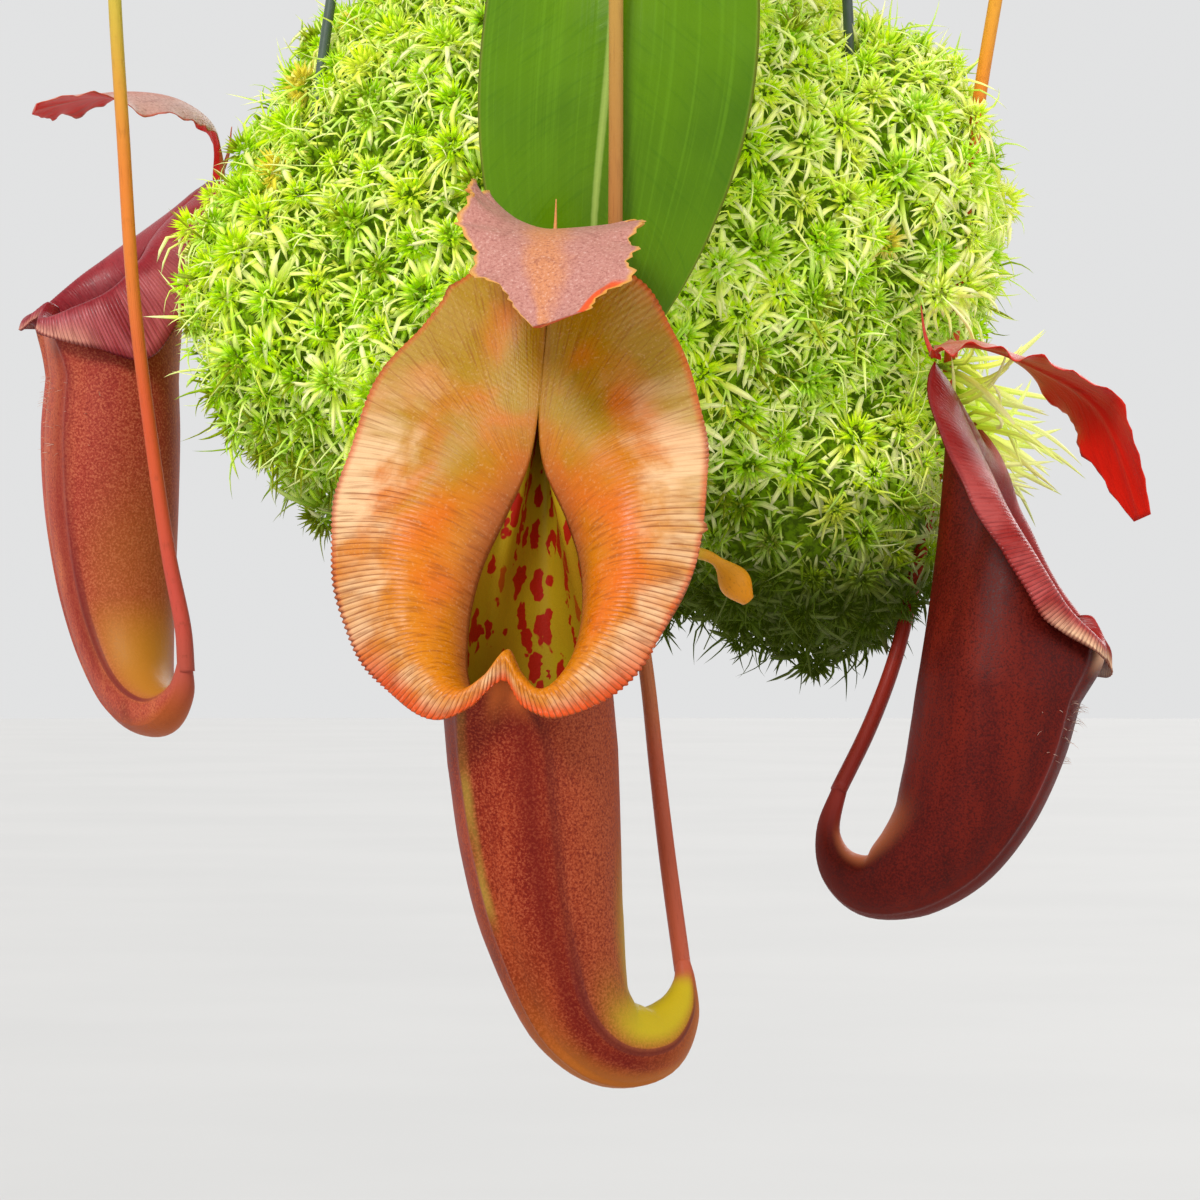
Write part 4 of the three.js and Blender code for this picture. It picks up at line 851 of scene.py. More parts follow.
def makeCup(name, spec, material):
    # shell: up the outside from the tendril, out under the rim, over and down the inside to its floor
    sides, rows, neckRows = 128, 58, 16
    u = np.arange(sides) / sides
    angle = (u * 2 * np.pi)[None, :]
    t = np.linspace(0, 1, rows)
    path, radius, front, hand, tangent = bodyFrames(spec, t)
    radius = radius * (1 - 0.16 * (1 - ease(t, 0, 0.1)))  # starts within the tendril
    left, right = (math.radians(wing) for wing in spec["wings"])
    high = ease(t, 0.35, 0.7)[:, None]
    ridges = angleHump(angle, left, 0.085) + angleHump(angle, right, 0.085)
    grooves = angleHump(angle, left - 0.17, 0.07) + angleHump(angle, right + 0.17, 0.07)
    uneven = 0.008 * (np.sin(3 * angle + 5 * t[:, None]) + np.sin(5 * angle - 9 * t[:, None] + 1))
    ratio = 1 + ridges * spec["ridge"] * (0.4 + 0.8 * high) - 0.016 * grooves * high + uneven
    heading = np.cos(angle)[..., None] * front[:, None] - np.sin(angle)[..., None] * hand[:, None]
    outside = path[:, None] + heading * (ratio * radius[:, None])[..., None]
    inside = path[:, None] + heading * (ratio * np.maximum(radius - cupWall, 0.4)[:, None])[..., None]
    keep = t >= spec["floor"] / (len(spec["body"]) - 1)
    inside = inside[keep][::-1]
    outEdge, inEdge = (rimBack(spec, u, np.full(sides, at), np.full(sides, depth))
                       for at, depth in ((0.3, 0.75), (0.04, 0.35)))
    share = (np.arange(neckRows) + 1)[:, None, None] / neckRows
    reach = np.linalg.norm(outEdge - outside[-1], axis=1)[None, :, None]
    swell = tangent[-1] * reach * share * (1 - share) ** 2 * 0.7
    bulge = spec["bulge"] * np.sin(np.pi * share[..., 0]) * angleHump(angle, 0, 0.42)
    neckOut = blend(outside[-1], outEdge, share) + swell + heading[-1] * bulge[..., None]
    neckIn = blend(inside[0], inEdge, share[::-1]) + swell[::-1]
    rings = np.concatenate([outside, neckOut, neckIn, inside])
    shape = rings.shape[:2]
    # marks: height, inside or out, the way a face looks, closeness to the seams
    past = 1 + 0.25 * share[:, 0, 0]
    rise = np.concatenate([t, past, past[::-1], t[keep][::-1]])[:, None]
    within = (np.arange(shape[0]) >= rows + neckRows)[:, None] * 1.0
    facing = np.concatenate([heading, np.broadcast_to(heading[-1], (shape[0] - rows, sides, 3))])
    hollow = (path[0] + path[int(rows * 0.68)]) / 2 + (0, 0, 6)  # within the foot's bend
    toHollow = np.vstack([unit(hollow - path), np.tile(unit(hollow - path[-1]), (shape[0] - rows, 1))])
    inner = np.einsum("ijk,ik->ij", facing, toHollow)
    turn = np.stack(np.broadcast_arrays(np.cos(angle), np.sin(angle), inner), -1) * 0.5 + 0.5
    seams = np.stack([angleHump(angle, at, width)
                      for at, width in ((left - 0.03, 0.042), (right, 0.05), (right + 0.24, 0.16))], -1)
    marks = {"turn": turn, "seams": seams, "rise": rise, "within": within}
    marks = {key: onLoft(value, shape) for key, value in marks.items()}
    putPiece("pitcher_cup_" + name, *loft(rings), material, "cup_" + name, ["cup_" + name], marks)


def makeHairs(name, spec, material):
    # short hairs on the skin under the lip: heights drawn evenly, angles normally about the front
    draw = np.random.default_rng(hair["seed"])
    n = spec["hairs"]
    path, radius, front, hand, tangent = bodyFrames(spec, np.sort(draw.uniform(hair["lowest"], 1.0, n)))
    angle = draw.normal(0, hair["spread"], n)[:, None]
    heading = np.cos(angle) * front - np.sin(angle) * hand
    roots = path + heading * (radius * 0.99)[:, None]  # just within the skin
    heading = heading + draw.normal(0, hair["tousle"], (n, 3))
    pull = draw.normal(0, hair["tousle"], (n, 3)) - tangent * 0.5
    points, faces, _, _ = blades(roots, heading, pull, draw.uniform(*hair["length"], n),
                                 np.full(n, hair["width"]), 1.0, 3, [(0, 1.0), (1, 0.3)])
    putPiece("cup_hairs_" + name, points, faces, material, "cup_" + name, ["cup_" + name])


def cupFinish(name, spec):
    # outside: downy skin mottled and streaked lengthways, two seams, paler in the inner bend;
    # inside: upright blotches on olive
    c = spec["skin"]
    s = Shade("cup_" + name, 0.5, Coat_Weight=0.03, Coat_Roughness=0.4, Specular_IOR_Level=0.14)
    front, leftward, inner = (s.mark("turn", axis) for axis in "XYZ")
    ridge, seam, band = (s.mark("seams", axis) for axis in "XYZ")
    rise, within = s.mark("rise"), s.mark("within")
    where, tall = s.place(), s.place((1, 1, 0.4))
    streak = s.noise(s.place((1, 1, 0.14)), 170, 4, 0.6)
    cloud = s.noise(where, 26, 3)
    mottle = s.noise(where, 1900, 2, 0.7)
    outer = s.times(s.fade(inner, 0.04, 0.22, 0.0, 0.85), s.fade(rise, 0.54, 0.72, 0.12, 1.0))
    foot = s.times(s.fade(inner, 0.15, 0.45, 0.2, 0.85), s.fade(rise, 0.2, 0.5, 0.0, 1.0))
    bend = s.times(s.fade(inner, c["turnFrom"], c["turnFrom"] + 0.33), s.fade(rise, 0.04, 0.16),
                   s.fade(rise, 0.46, 0.72, 0.0, 0.9))
    edge = s.times(s.fade(inner, 0.66, 0.95, c["turnUp"]), s.fade(rise, 0.72, 0.98, 0.0, 1.0),
                   s.fade(rise, 0.3, 0.5))
    patchy = s.fade(s.noise(tall, 90, 2), 0.35, 0.6, 1.0, 0.2)
    stripe = s.ramp(rise, [(0.74, 0.0), (0.79, 0.95), (0.95, 0.95), (1.0, 0.3)])
    beside = s.ramp(rise, [(0.1, 0.0), (0.3, 0.7), (0.6, 0.6), (0.8, 0.0)])
    skin = s.layers(
        s.ramp(s.plus(s.times(streak, 0.5), s.times(cloud, 0.5)),
               [(0.36, c["deep"]), (0.5, c["main"]), (0.68, c["light"])]),
        (c["far"], s.fade(leftward, 0.05, 0.42, 0.0, 0.85)),
        (c["deep"], s.fade(mottle, 0.36, 0.5, 0.0, 0.7)),
        (c["fleck"], s.fade(mottle, 0.48, 0.66, 0.5)),
        (c["deep"], s.times(band, s.fade(rise, 0.2, 0.5, 0.6))),
        (c["low"], s.calc("MAXIMUM", outer, foot)),
        (c["turn"], s.calc("MAXIMUM", bend, edge)),
        (c["ridge"], s.times(ridge, patchy, stripe)),
        (c["band"], s.times(s.fade(seam, 0.0, 0.2), beside)),
        (c["seam"], s.times(seam, s.fade(rise, 0.12, 0.3, 0.6))),
        (c["lip"], s.times(s.fade(front, 0.96, 0.998), s.fade(s.times(rise, 0.5), 0.525, 0.585))))
    skin = s.mix(c["cord"], skin, s.fade(rise, 0.02, 0.18))
    # upright blotches: stretched cells bent by a noise, some left out by the cell's own shade
    bent = s.add("VectorMath", {"operation": "ADD"})
    s.feed(bent.inputs[0], tall)
    sway = (s.times(s.noise(s.place((k, k, k)), 260, 2), 0.004) for k in (1, 1.3, 0.8))
    s.feed(bent.inputs[1], s.vector(*sway))
    shade = s.add("SeparateColor", Color=s.cells(bent.outputs[0], 310, "Color")).outputs[0]
    blotches = s.times(s.fade(s.cells(bent.outputs[0], 310, "Distance"), 0.43, 0.49, 0.0, 1.0),
                       s.fade(shade, 0.25, 0.29))
    lining = s.layers(c["inside"], (c["light"], s.fade(cloud, 0.4, 0.8, 0.35)), (c["blotch"], blotches))
    s.set(Base_Color=s.mix(skin, lining, within), Roughness=s.fade(mottle, 0.3, 0.7, 0.62, 0.4),
          Normal=s.bump(streak, 0.2, 0.0005, s.bump(mottle, 0.3, 0.00025)))
    return s.material


def makeLid(name, spec, material):
    # curve + side s half + top lift |s|^1.6, serrated and ruffled at the edge, upper face then under
    lid = spec["lid"]
    forward, across, _ = mouthAxes(spec)
    foot = mouthPlace(spec, 0, mouthRows[-1][3], 0.5)
    up = np.array([0, 0, 1.0])
    path = np.array([foot + forward * f + up * z + across * x for f, z, x in lid["path"]])
    toothRows, columns, spurRows = 4, 37, 24
    t = np.linspace(0, 1, lid["teeth"] * toothRows + 1)
    line = openCurve(path, t)
    tangent, side, _ = framesAlong(line, across)
    top = np.cross(tangent, side)
    leftHalf, leftLift, rightHalf, rightLift, twist = openCurve(lid["edge"], t, 0).T[..., None]
    roll = np.radians(twist)
    side, top = (way * np.cos(roll) + np.cross(tangent, way) * np.sin(roll) for way in (side, top))
    draw = np.random.default_rng(toothSeed)
    saw = 1 - np.abs(((t * lid["teeth"]) % 1) * 2 - 1)
    depth = np.repeat(draw.uniform(0.3, 1.0, lid["teeth"]), toothRows)[:, None]
    depth = np.concatenate([depth, depth[-1:]])
    s = np.linspace(-1, 1, columns)[None, :]
    onLeft, out = s < 0, np.abs(s)
    half = np.maximum(np.where(onLeft, leftHalf, rightHalf), 1.2)
    lift = np.where(onLeft, leftLift, rightLift) * out ** 1.6
    wide = ease(half, 2, 10)
    # uneven: seed to the left and to the right, waves
    ruffle, lobes = (np.where(onLeft, wander(t, a, *waves)[:, None], wander(t, b, *waves)[:, None])
                     for a, b, waves in ((3, 7, (11, 0.3)), (19, 29, (9, 0.2))))
    lift = lift + lid["ruffle"] * ruffle * out ** 4 * wide * 0.6
    tooth = (saw[:, None] * depth - 0.35) * 1.3 * out ** 20 + lid["lobes"] * lobes * out ** 5
    reach = s * half + tooth * np.sign(s) * wide
    mid = line[:, None] + side[:, None] * reach[..., None] + top[:, None] * lift[..., None]
    keel = blend(2.2, lid["thickness"], ease(t, 0, 0.22))[:, None] * (1 - 0.7 * out ** 6)
    rib = 0.8 * hump(s * half, 0, 1.2) * (1 - 0.6 * ease(t, 0, 1))[:, None]
    upper = mid + top[:, None] * (keel * 0.5)[..., None]
    under = mid - top[:, None] * (keel * 0.5 + rib)[..., None]
    rings = np.concatenate([upper, under[:, ::-1]], 1)
    # spur: a thin spike behind the lid's foot
    spurPath = openCurve([foot + up - forward, foot - forward * 3 + up * 6, foot - forward * 4 + up * 13],
                         np.linspace(0, 1, spurRows))
    spur = loft(sweep(spurPath, np.linspace(0.75, 0.12, spurRows), 8, (1, 0.1, 0)))
    marks = {}
    for key, onLid, onSpur in (("across", np.concatenate([s, s[:, ::-1]], 1), 0), ("run", t[:, None], 0),
                               ("under", np.repeat([[0.0, 1.0]], columns, 1), 0.5)):
        marks[key] = np.append(onLoft(onLid, rings.shape[:2]), np.full(len(spur[0]), onSpur))
    putPiece("pitcher_lid_" + name, *joined(loft(rings), spur), material, "lid_" + name, ["lid_" + name],
             marks)


def lidFinish(name, spec):
    # downy above, red and smooth below, veins fanning from the midrib, a coloured edge
    c = spec["cover"]
    s = Shade("lid_" + name, 0.5, Sheen_Weight=0.05, Coat_Weight=0.03, Specular_IOR_Level=0.2)
    across, run, under = map(s.mark, ("across", "run", "under"))
    where = s.place()
    reach = s.calc("ABSOLUTE", across)
    veins = s.streaks(s.calc("SUBTRACT", run, s.times(reach, 0.25)), 26.0, reach, 3.0)
    down = s.noise(where, 1500, 3, 0.7)
    cloudy = s.plus(reach, s.times(s.noise(where, 110, 4), 0.5))
    upper = s.layers(c["middle"], (c["top"], s.fade(cloudy, 0.3, 0.65)),
                     (c["vein"], s.fade(veins, 0.55, 0.75, 0.35)),
                     (c["vein"], s.fade(down, 0.34, 0.5, 0.0, 0.55)),
                     (rgb(232, 196, 184), s.fade(down, 0.54, 0.72, 0.5)))
    lower = s.layers(c["under"], (c["edge"], s.fade(reach, 0.0, 0.07, 0.0, 0.8)),
                     (c["vein"], s.fade(veins, 0.5, 0.75, 0.6)))
    corner = s.times(s.fade(across, 0.8, 0.86), s.fade(run, 0.84, 0.87), c["corner"])
    s.set(Base_Color=s.layers(upper, (lower, s.calc("MAXIMUM", under, corner)),
                              (c["edge"], s.fade(reach, 0.93, 1.0, 0.9))),
          Normal=s.bump(veins, 0.3, 0.0006, s.bump(down, 0.4, 0.0003)))
    return s.material


# moss

moss = {
    "seed": 17,
    "centre": (2, 0, -18),
    "lobes": [((0, 0, 0), (85, 88, 82)), ((50, -24, -50), (34, 38, 39)), ((-56, -22, -10), (37, 44, 40)),
              ((62, -12, 14), (33, 48, 44)), ((-20, -44, -22), (44, 42, 42)), ((24, -40, 4), (48, 46, 58))],
    "clump": 2.4,
    "spacing": 9.4,
    "tries": 14000,
    "headSize": (0.75, 1.5),
    "amberShare": 0.016,
    # heads that stand off the ball: place, the way they face, size
    "tufts": [((-92, -24, -8), (-1, -0.4, 0.5), 1.2), ((-87, -22, -1), (-0.8, -0.4, 0.8), 1.0),
              ((-90, -28, -15), (-1, -0.6, 0.1), 1.0), ((93, -18, -33), (1, -0.4, 0.3), 1.1),
              ((90, -22, -26), (0.8, -0.5, 0.6), 1.1)],
    # leaflets of a head: name, count, tilt from and to, length, width, droop, start radius and height,
    # tips' paleness, steps, light at the root (how far along the roots start, lifting the painted root shade)
    "leaflets": [("domes", 54, (0.05, 1.7), (2.0, 3.1), (1.0, 1.5), 0.3, (2.0, -0.2), 0.0, 1, 0.3),
                 ("branches", 15, (1.0, 1.75), (6.0, 10.5), (0.85, 1.35), 2.0, (1.8, -1.6), 0.85, 3, 0.1)],
    # between the heads: name, count, height over the ball from and to, length, width, bend, steps,
    # keel, tips' paleness and the tone from which they have it
    "between": [("fuzz", 13500, (-4, 0), (4, 7.5), (0.9, 1.5), 2.2, 2, 0.8, (0.0, 0.7), -1.0),
                ("strands", 4200, (-3, 2), (7, 15), (0.5, 0.95), 3.2, 4, 1.0, (0.25, 1.0), 0.12)],
    # thick curled strands that hang out beside the right pitcher
    "fringe": {"count": 76, "low": (80, -42, -66), "high": (87, -14, -40), "length": (19, 38),
               "width": (1.3, 2.2)},
    # thin bare root strands: points in turn
    "roots": [[(31.8, -48, -86), (34, -53, -93), (31, -54, -101), (28.2, -53, -107.4)],
              [(14, -42, -91), (15.8, -47, -99), (14.2, -49, -105.4)],
              [(-30, -41, -83), (-31, -45, -91), (-29, -46, -98)]],
    # deep and core: the dark root colours, painted shade of the gaps between the heads
    "deep": rgb(42, 62, 2),
    "core": rgb(114, 152, 6),
    "olive": rgb(132, 144, 14),
    "dark": rgb(166, 224, 2),
    "bright": rgb(214, 246, 8),
    "light": rgb(240, 248, 84),
    "pale": rgb(251, 252, 182),
    # shaded: painted shade low down, where the ball shades itself
    "shaded": rgb(54, 68, 3),
    "amber": rgb(226, 200, 50),
}


def mossReach(direction):
    # distance from the middle to the furthest of the overlapping lobes, by the ellipsoid's quadratic
    reach = np.zeros(direction.shape[:-1])
    for at, size in moss["lobes"]:
        size = np.array(size, float)
        scaled = direction / size
        centre = np.array(at) / size
        along = scaled @ centre
        span = (scaled ** 2).sum(-1)
        inside = along ** 2 - span * (centre @ centre - 1)
        reach = np.maximum(reach, np.where(inside > 0, (along + np.sqrt(inside.clip(0))) / span, 0))
    return reach


def mossPoint(direction, proud=0.0):
    # the middle plus the direction times its reach, clumps sin(17 x + 3 sin 11 z) sin(19 z + 3 sin 13 y)
    # and a little more
    x, y, z = direction[..., 0], direction[..., 1], direction[..., 2]
    clump = moss["clump"] * np.sin(17 * x + 3 * np.sin(11 * z)) * np.sin(19 * z + 3 * np.sin(13 * y))
    return direction * (mossReach(direction) + clump + proud)[..., None] + np.array(moss["centre"])


def mossNormal(direction, step=0.08):
    # cross product of two steps over the surface
    side = unit(np.stack([-direction[..., 1], direction[..., 0] + 1e-6, direction[..., 0] * 0], -1))
    rise = np.cross(direction, side)

    def at(a, b):
        return mossPoint(unit(direction + side * a + rise * b))

    return unit(np.cross(at(step, 0) - at(-step, 0), at(0, step) - at(0, -step)))


def scattered(count, draw):
    # random directions from normal draws, kept in step with the area that each stands for
    direction = unit(draw.normal(0, 1, (count * 4, 3)))
    slope = (mossNormal(direction) * direction).sum(1).clip(0.25)
    area = mossReach(direction) ** 2 / slope
    return direction[draw.choice(len(direction), count, False, area / area.sum())]


def spaced(points, spacing, draw):
    # takes points in random order and drops those left that stand nearer to one than the spacing
    left = draw.permutation(len(points))
    picks = []
    while len(left):
        picks.append(left[0])
        away = np.linalg.norm(points[left] - points[left[0]], axis=1)
        left = left[away > spacing]
    return np.array(picks)


def blades(base, heading, pull, length, width, keel, steps, widths):
    # three-sided blades: at each step, shorter towards the tip, the heading turns by its share of the
    # pull, and the sides lie square to both
    n = len(base)
    stops = np.linspace(0, 1, steps + 1) ** 0.7
    line, headings = [base], [unit(heading)]
    for step in np.diff(stops):
        line.append(line[-1] + headings[-1] * (length * step)[:, None])
        headings.append(unit(headings[-1] + pull * step))
    line = np.stack(line, 1)
    headings = np.stack(headings, 1)
    notQuite = (0.011, 0.017, 0.013)  # keeps the sides apart where a pull is nothing or runs along
    across = unit(np.cross(headings, pull[:, None] + notQuite))
    above = np.cross(across, headings)
    w = (width[:, None] * np.interp(stops, *zip(*widths))[None])[..., None] * 0.5
    rings = np.stack([line - across * w, line + across * w, line + above * w * keel], 2)
    points = np.concatenate([rings[:, :-1].reshape(n, -1, 3), line[:, -1:]], 1)
    per = points.shape[1]
    last = (steps - 1) * 3
    tips = np.array([[last + a, last + (a + 1) % 3, steps * 3] for a in range(3)] + [[2, 1, 0]])
    shift = (np.arange(n) * per)[:, None, None]
    quads = (gridFaces(steps, 3, wrapColumns=True)[None] + shift).reshape(-1, 4)
    along = np.append(np.repeat(stops[:-1], 3), 1.0)
    return points.reshape(-1, 3), [quads, (tips[None] + shift).reshape(-1, 3)], along, per


def putBlades(name, made, tone, wan, material, lit=0.0):
    # the blades' points carry how far along they are, from lit at the root, their tone and paleness
    points, faces, along, per = made
    along = np.tile(lit + (1 - lit) * along, len(tone))
    marks = {"sprig": np.stack([along, np.repeat(tone, per), np.repeat(wan, per)], 1)}
    putPiece("moss_" + name, points, faces, material, "moss", ["moss"], marks)


def clearOf(points):
    # true where a point is clear of the stem, the hanger wires and the right-hand tendril
    keep = np.hypot(points[:, 0], points[:, 1]) > 9
    lines = [(openCurve(leaves["right"]["tendril"], np.linspace(0, 1, 80)), 3.6)]
    for degrees, bend in hanger["wires"].values():
        wire = hangerWirePoints(math.radians(degrees), bend)
        lines.append((openCurve(wire, np.linspace(0.5, 0.75, 40)), 3))
    for line, gap in lines:
        keep &= np.linalg.norm(points[:, None] - line[None], axis=2).min(1) > gap
    return keep


def mossFinish():
    # olive, dark, bright, light and amber by tone; darker at the root, painted shade of the gaps between
    # the heads; paler at the tip; and dull low down, painted shade where the ball shades itself
    s = Shade("liveMoss", 0.7, Specular_IOR_Level=0.1, Emission_Strength=0.2)
    along, tone, pale = (s.mark("sprig", axis) for axis in "XYZ")
    where = s.place()
    green = s.ramp(tone, [(0.0, moss["olive"]), (0.25, moss["dark"]), (0.6, moss["bright"]),
                          (0.86, moss["light"]), (1.0, moss["amber"])], False)
    green = s.mix(green, moss["light"], s.fade(s.noise(where, 700, 2), 0.5, 0.75, 0.5))
    # root: deep and core mixed by a noise, the painted shade of the gaps between the heads
    root = s.mix(moss["deep"], moss["core"], s.fade(s.noise(where, 420, 3, 0.7), 0.44, 0.6))
    depth = s.plus(s.part(s.place((1, 1, 10)), "Z"), 5.0)  # 1.0 at 0.40 m below the hook, 0.3 at 0.47 m
    colour = s.layers(root, (green, s.fade(along, 0.0, 0.35, 1.0, 0.1)),
                      (moss["pale"], s.times(s.fade(along, 0.1, 0.85), pale)),
                      (moss["shaded"], s.ramp(depth, [(0.24, 0.95), (0.42, 0.5), (0.58, 0.0)])))
    # the emission is painted light: a glow for what thin leaflets let through, which also lifts the shaded gaps
    s.set(Base_Color=colour, Emission_Color=colour)  # stands for the light that thin leaflets let through
    return s.material


def makeMossCore(material):
    # the lobed ball with small hummocks sin(9 a + 4 sin 5 p) sin(13 p + 2), drawn in under the heads
    polar = np.linspace(0.0, np.pi, 64)[1:-1, None]
    azimuth = np.linspace(0, 2 * np.pi, 120, endpoint=False)[None, :]
    ways = (np.sin(polar) * np.cos(azimuth), np.sin(polar) * np.sin(azimuth), np.cos(polar))
    hummocks = 1.2 * np.sin(9 * azimuth + 4 * np.sin(5 * polar)) * np.sin(13 * polar + 2)
    points, faces = loft(mossPoint(np.stack(np.broadcast_arrays(*ways), -1), hummocks - 4))
    # the core takes the dark root colour with a little green: painted shade between the heads
    marks = {"sprig": np.tile([0.0, 0.2, 0.0], (len(points), 1))}
    putPiece("moss_core", points, faces, material, "moss", ["moss"], marks)


def makeHeads(material, draw):
    # domes of short leaflets over long arching branches with pale tips; each leaflet of a head turns
    # by the golden angle from the one before, and leans out by the root of its share of the count
    ways = scattered(moss["tries"], draw)
    at = mossPoint(ways, draw.normal(0.5, 1.3, len(ways)))
    free = clearOf(at)
    ways, at = ways[free], at[free]
    picks = spaced(at, moss["spacing"], draw)
    places, lean, big = zip(*moss["tufts"])
    at = np.vstack([at[picks], places])
    normal = np.vstack([mossNormal(ways[picks]), lean])
    normal = unit(unit(normal) + draw.normal(0, 0.2, normal.shape) + (0, 0, 0.12))
    size = np.append(draw.uniform(*moss["headSize"], len(picks)), big)
    heads = len(at)
    region = np.sin(at[:, 0] * 0.11 + 1.3) * np.sin(at[:, 2] * 0.12 + 0.7)
    # tone up for heads that face up and far down for those facing down: painted light from above, painted shade
    # beneath
    headTone = draw.normal(0.5, 0.17, heads) + 0.12 * normal[:, 2] + 0.07 * region + 0.0012 * at[:, 0]
    headTone = np.where(normal[:, 2] < -0.35, headTone * 0.45, headTone)
    headTone = np.where(draw.random(heads) < moss["amberShare"], 0.97, headTone.clip(0, 0.84))
    first = unit(np.cross(normal, [0.2, 0.1, 1]))
    second = np.cross(normal, first)
    goldenAngle = 2.39996
    for name, count, tilts, lengths, widths, droop, (out, height), pale, steps, lit in moss["leaflets"]:
        n = heads * count
        order = np.tile((np.arange(count) + 0.5) / count, heads)
        turn = order * count * goldenAngle + np.repeat(draw.uniform(0, 6, heads), count)
        turn += draw.normal(0, 0.2, n)
        tilt = (np.sqrt(order) * (tilts[1] - tilts[0]) + tilts[0] + draw.normal(0, 0.12, n))[:, None]
        up, a, b, big, middle = (np.repeat(value, count, 0) for value in (normal, first, second, size, at))
        away = np.cos(turn)[:, None] * a + np.sin(turn)[:, None] * b
        heading = up * np.cos(tilt) + away * np.sin(tilt)
        base = middle + heading * (out * big)[:, None] + up * (height * big)[:, None]
        curl = np.cross(up, away) * draw.normal(0, 0.5, n)[:, None]
        pull = (away * 0.5 - up * 0.7 + (0, 0, -0.45)) * droop + curl * droop
        made = blades(base, heading, pull, draw.uniform(*lengths, n) * big, draw.uniform(*widths, n) * big,
                      0.9, steps, [(0, 0.75), (0.4, 1.0), (0.8, 0.8), (1, 0.1)])
        lighter = 0.24 if name == "branches" else 0.25 * (order - 0.6)
        tone = np.repeat(headTone, count)
        tone = np.where(tone > 0.9, tone, (tone + draw.normal(0, 0.07, n) + lighter).clip(0, 0.85))
        whiter = np.repeat(draw.normal(0, 0.16, heads) + 0.16 * region + 0.003 * at[:, 0], count)
        wan = (pale + whiter + draw.normal(0, 0.25, n)).clip(0, 1) * (0.4 + 0.6 * (tone > 0.3))
        putBlades(name, made, tone, wan, material, lit)


def makeBetween(material, draw):
    # fuzz under the heads and thin curling strands between them, duller on the underside, where a lower tone is
    # painted shade
    for name, count, heights, lengths, widths, bend, steps, keel, pale, paleFrom in moss["between"]:
        ways = scattered(count, draw)
        at = mossPoint(ways, draw.uniform(*heights, count))
        free = clearOf(at)
        at, normal = at[free], mossNormal(ways[free])
        n = len(at)
        heading = unit(normal + draw.normal(0, 0.75, at.shape))
        pull = draw.normal(0, 0.7, at.shape) * bend * 0.6 + (0, 0, -0.3 * bend)
        made = blades(at, heading, pull, draw.uniform(*lengths, n), draw.uniform(*widths, n), keel, steps,
                      [(0, 0.8), (0.4, 1.0), (1, 0.15)])
        # a lower tone on the underside: painted shade
        tone = (draw.normal(0.45, 0.18, n) - 0.3 * (normal[:, 2] < -0.35)).clip(0, 0.85)
        putBlades(name, made, tone, draw.uniform(*pale, n) * (tone > paleFrom), material)


def makeFringe(material, draw):
    # strands from seeded places in a box, headed outwards, each curling its own way
    fringe = moss["fringe"]
    n = fringe["count"]
    at = draw.uniform(fringe["low"], fringe["high"], (n, 3))
    heading = unit(np.array([1.0, -0.25, -0.1]) + draw.normal(0, 0.4, (n, 3)))
    pull = draw.normal(0, 1.6, (n, 3)) + (0.3, 0, -0.7)
    made = blades(at, heading, pull, draw.uniform(*fringe["length"], n), draw.uniform(*fringe["width"], n),
                  1.2, 9, [(0, 0.8), (0.3, 1.0), (0.8, 0.7), (1, 0.1)])
    putBlades("fringe", made, draw.uniform(0.6, 0.9, n), draw.uniform(0.5, 1.0, n), material)


def makeRoots(material):
    # each a thin cord through its points, tapering to the tip
    run = np.linspace(0, 1, 30)
    points, faces = joined(*(loft(sweep(openCurve(root, run), blend(0.35, 0.12, run), 6))
                             for root in moss["roots"]))
    marks = {"sprig": np.tile([0.9, 0.6, 0.9], (len(points), 1))}
    putPiece("moss_roots", points, faces, material, "moss", ["moss"], marks)


# stem, medium and basket

stemSize = {"radius": 4.8, "low": -28.0, "high": 172.0, "scars": 15}


def stemFinish():
    # bark low down, green at the top, with upright brown patches
    s = Shade("stem", 0.5, Coat_Weight=0.15)
    stops = [(0.2, rgb(96, 78, 36)), (0.5, rgb(126, 126, 50)), (1.0, rgb(150, 170, 66))]
    patches = s.fade(s.noise(s.place((1, 1, 0.2)), 160, 4), 0.5, 0.75, 0.6)
    s.set(Base_Color=s.mix(s.ramp(s.mark("run"), stops), rgb(70, 52, 26), patches),
          Normal=s.bump(s.noise(s.place(), 300, 4), 0.4, 0.0005))
    return s.material


def makeStem(material):
    # radius swells at each leaf scar: 1 + 0.09 hump of the height's share within its step
    t = np.linspace(0, 1, 260)
    step = (t * stemSize["scars"]) % 1
    radius = stemSize["radius"] * (1 - 0.3 * ease(t, 0.8, 1)) * (0.93 + 0.09 * hump(step, 0.5, 0.12))
    radius *= 1 - 0.85 * ease(t, 0.94, 1)
    z = blend(stemSize["low"], stemSize["high"], t)
    sway = 0.3 * np.sin(np.pi * t * 2) * ease(z, 0, 20)
    rings = sweep(np.stack([sway, sway * 0, z], 1), radius, 28, (1, 0, 0))
    putPiece("plant_stem", *loft(rings), material, "stem", ["stem"],
             {"run": onLoft(t[:, None], rings.shape[:2])})


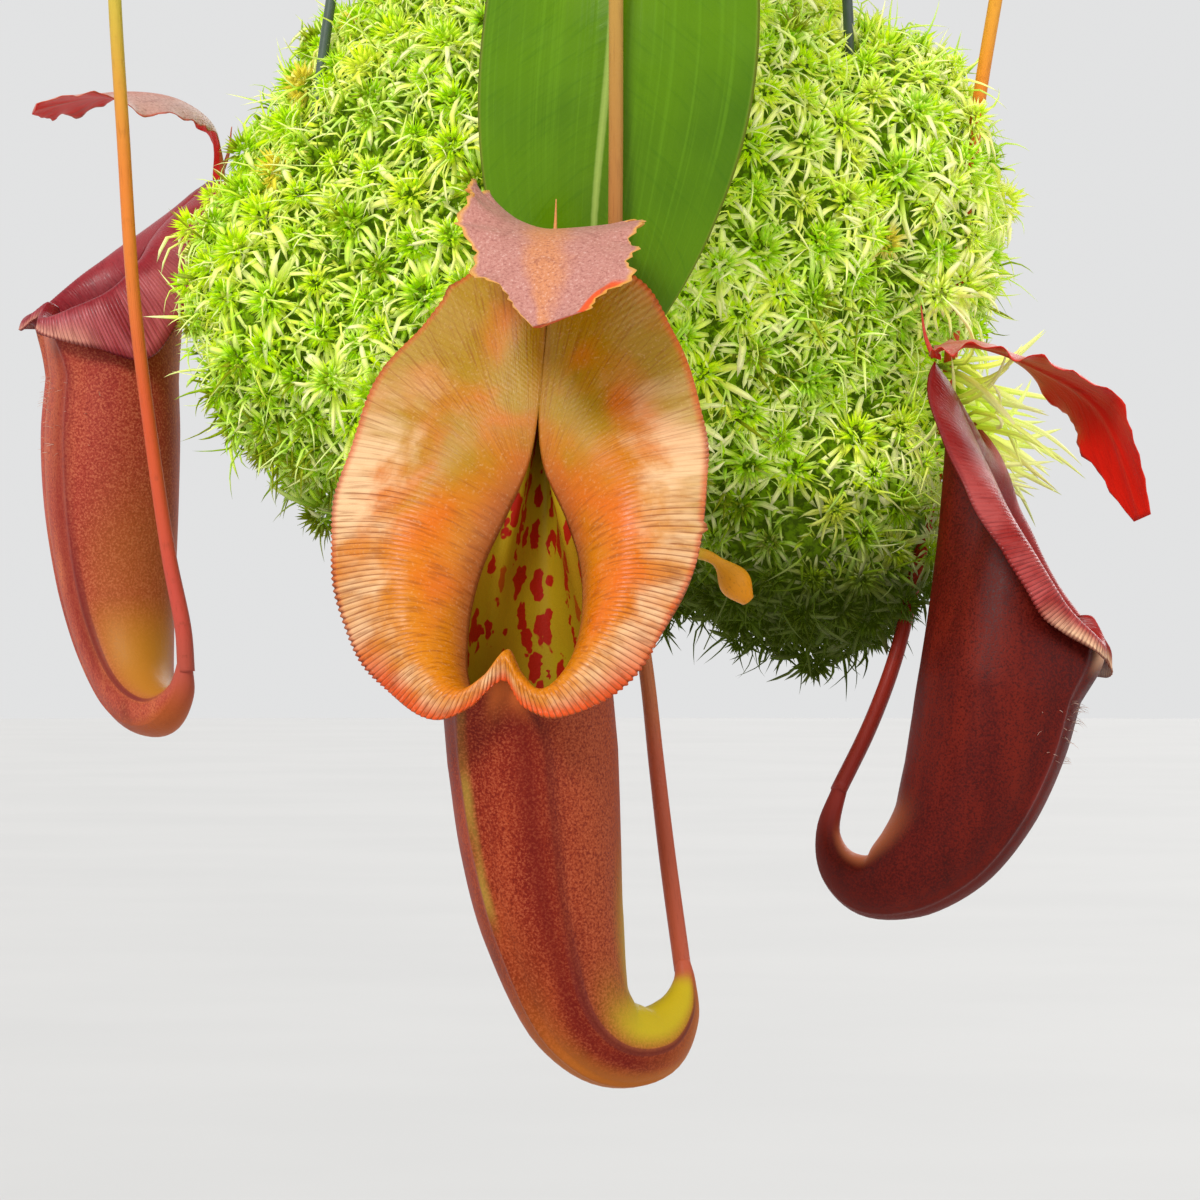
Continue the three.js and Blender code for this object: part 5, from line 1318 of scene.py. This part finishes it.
def mediumFinish():
    # dark crumbs
    s = Shade("growingMedium", 0.92)
    where = s.place()
    s.set(Base_Color=s.ramp(s.noise(where, 130, 5), [(0.3, rgb(40, 26, 14)), (0.7, rgb(110, 84, 48))]),
          Normal=s.bump(s.noise(where, 260, 4), 0.8, 0.002))
    return s.material


def paintNode(name, material):
    # a CAD node that keeps its shape gets the finish on its slots
    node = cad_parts[name]
    if not node.material_slots:
        node.data.materials.append(material)
    for slot in node.material_slots:
        slot.material = material


# the whole plant

wireFinish = coatedWireFinish()
makeHanger(wireFinish)
paintNode("basket", wireFinish)
paintNode("growing_medium", mediumFinish())
makeStem(stemFinish())
print("hanger, basket and stem made")

for seed, (name, spec) in enumerate(leaves.items(), leafSeed):
    makeLeaf(name, spec, seed)
print("leaves and tendrils made")

hairFinish = Shade("paleHair", 0.6, Base_Color=hair["colour"]).material
for name, spec in pitchers.items():
    makeRim(name, spec, rimFinish(name, spec))
    makeCup(name, spec, cupFinish(name, spec))
    makeLid(name, spec, lidFinish(name, spec))
    if spec["hairs"]:
        makeHairs(name, spec, hairFinish)
print("pitchers made")

mossGreen = mossFinish()
mossDraw = np.random.default_rng(moss["seed"])
makeMossCore(mossGreen)
makeHeads(mossGreen, mossDraw)
makeBetween(mossGreen, mossDraw)
makeFringe(mossGreen, mossDraw)
makeRoots(mossGreen)
print("moss made")


def putFloor():
    # one wide pale disc under the plant
    sides, radius = 96, view["floorRadius"]
    angle = np.linspace(0, 2 * np.pi, sides, endpoint=False)
    mesh = bpy.data.meshes.new("floor")
    ring = [(radius * math.cos(a), radius * math.sin(a), view["floorHeight"]) for a in angle]
    mesh.from_pydata(ring, [], [tuple(range(sides))])
    s = Shade("paleFloor", 0.7)
    s.set(Base_Color=s.ramp(s.noise(s.place(), 3, 3), list(zip((0.3, 0.7), view["floorColours"]))))
    mesh.materials.append(s.material)
    floor = bpy.data.objects.new("floor", mesh)
    bpy.context.scene.collection.objects.link(floor)


putFloor()
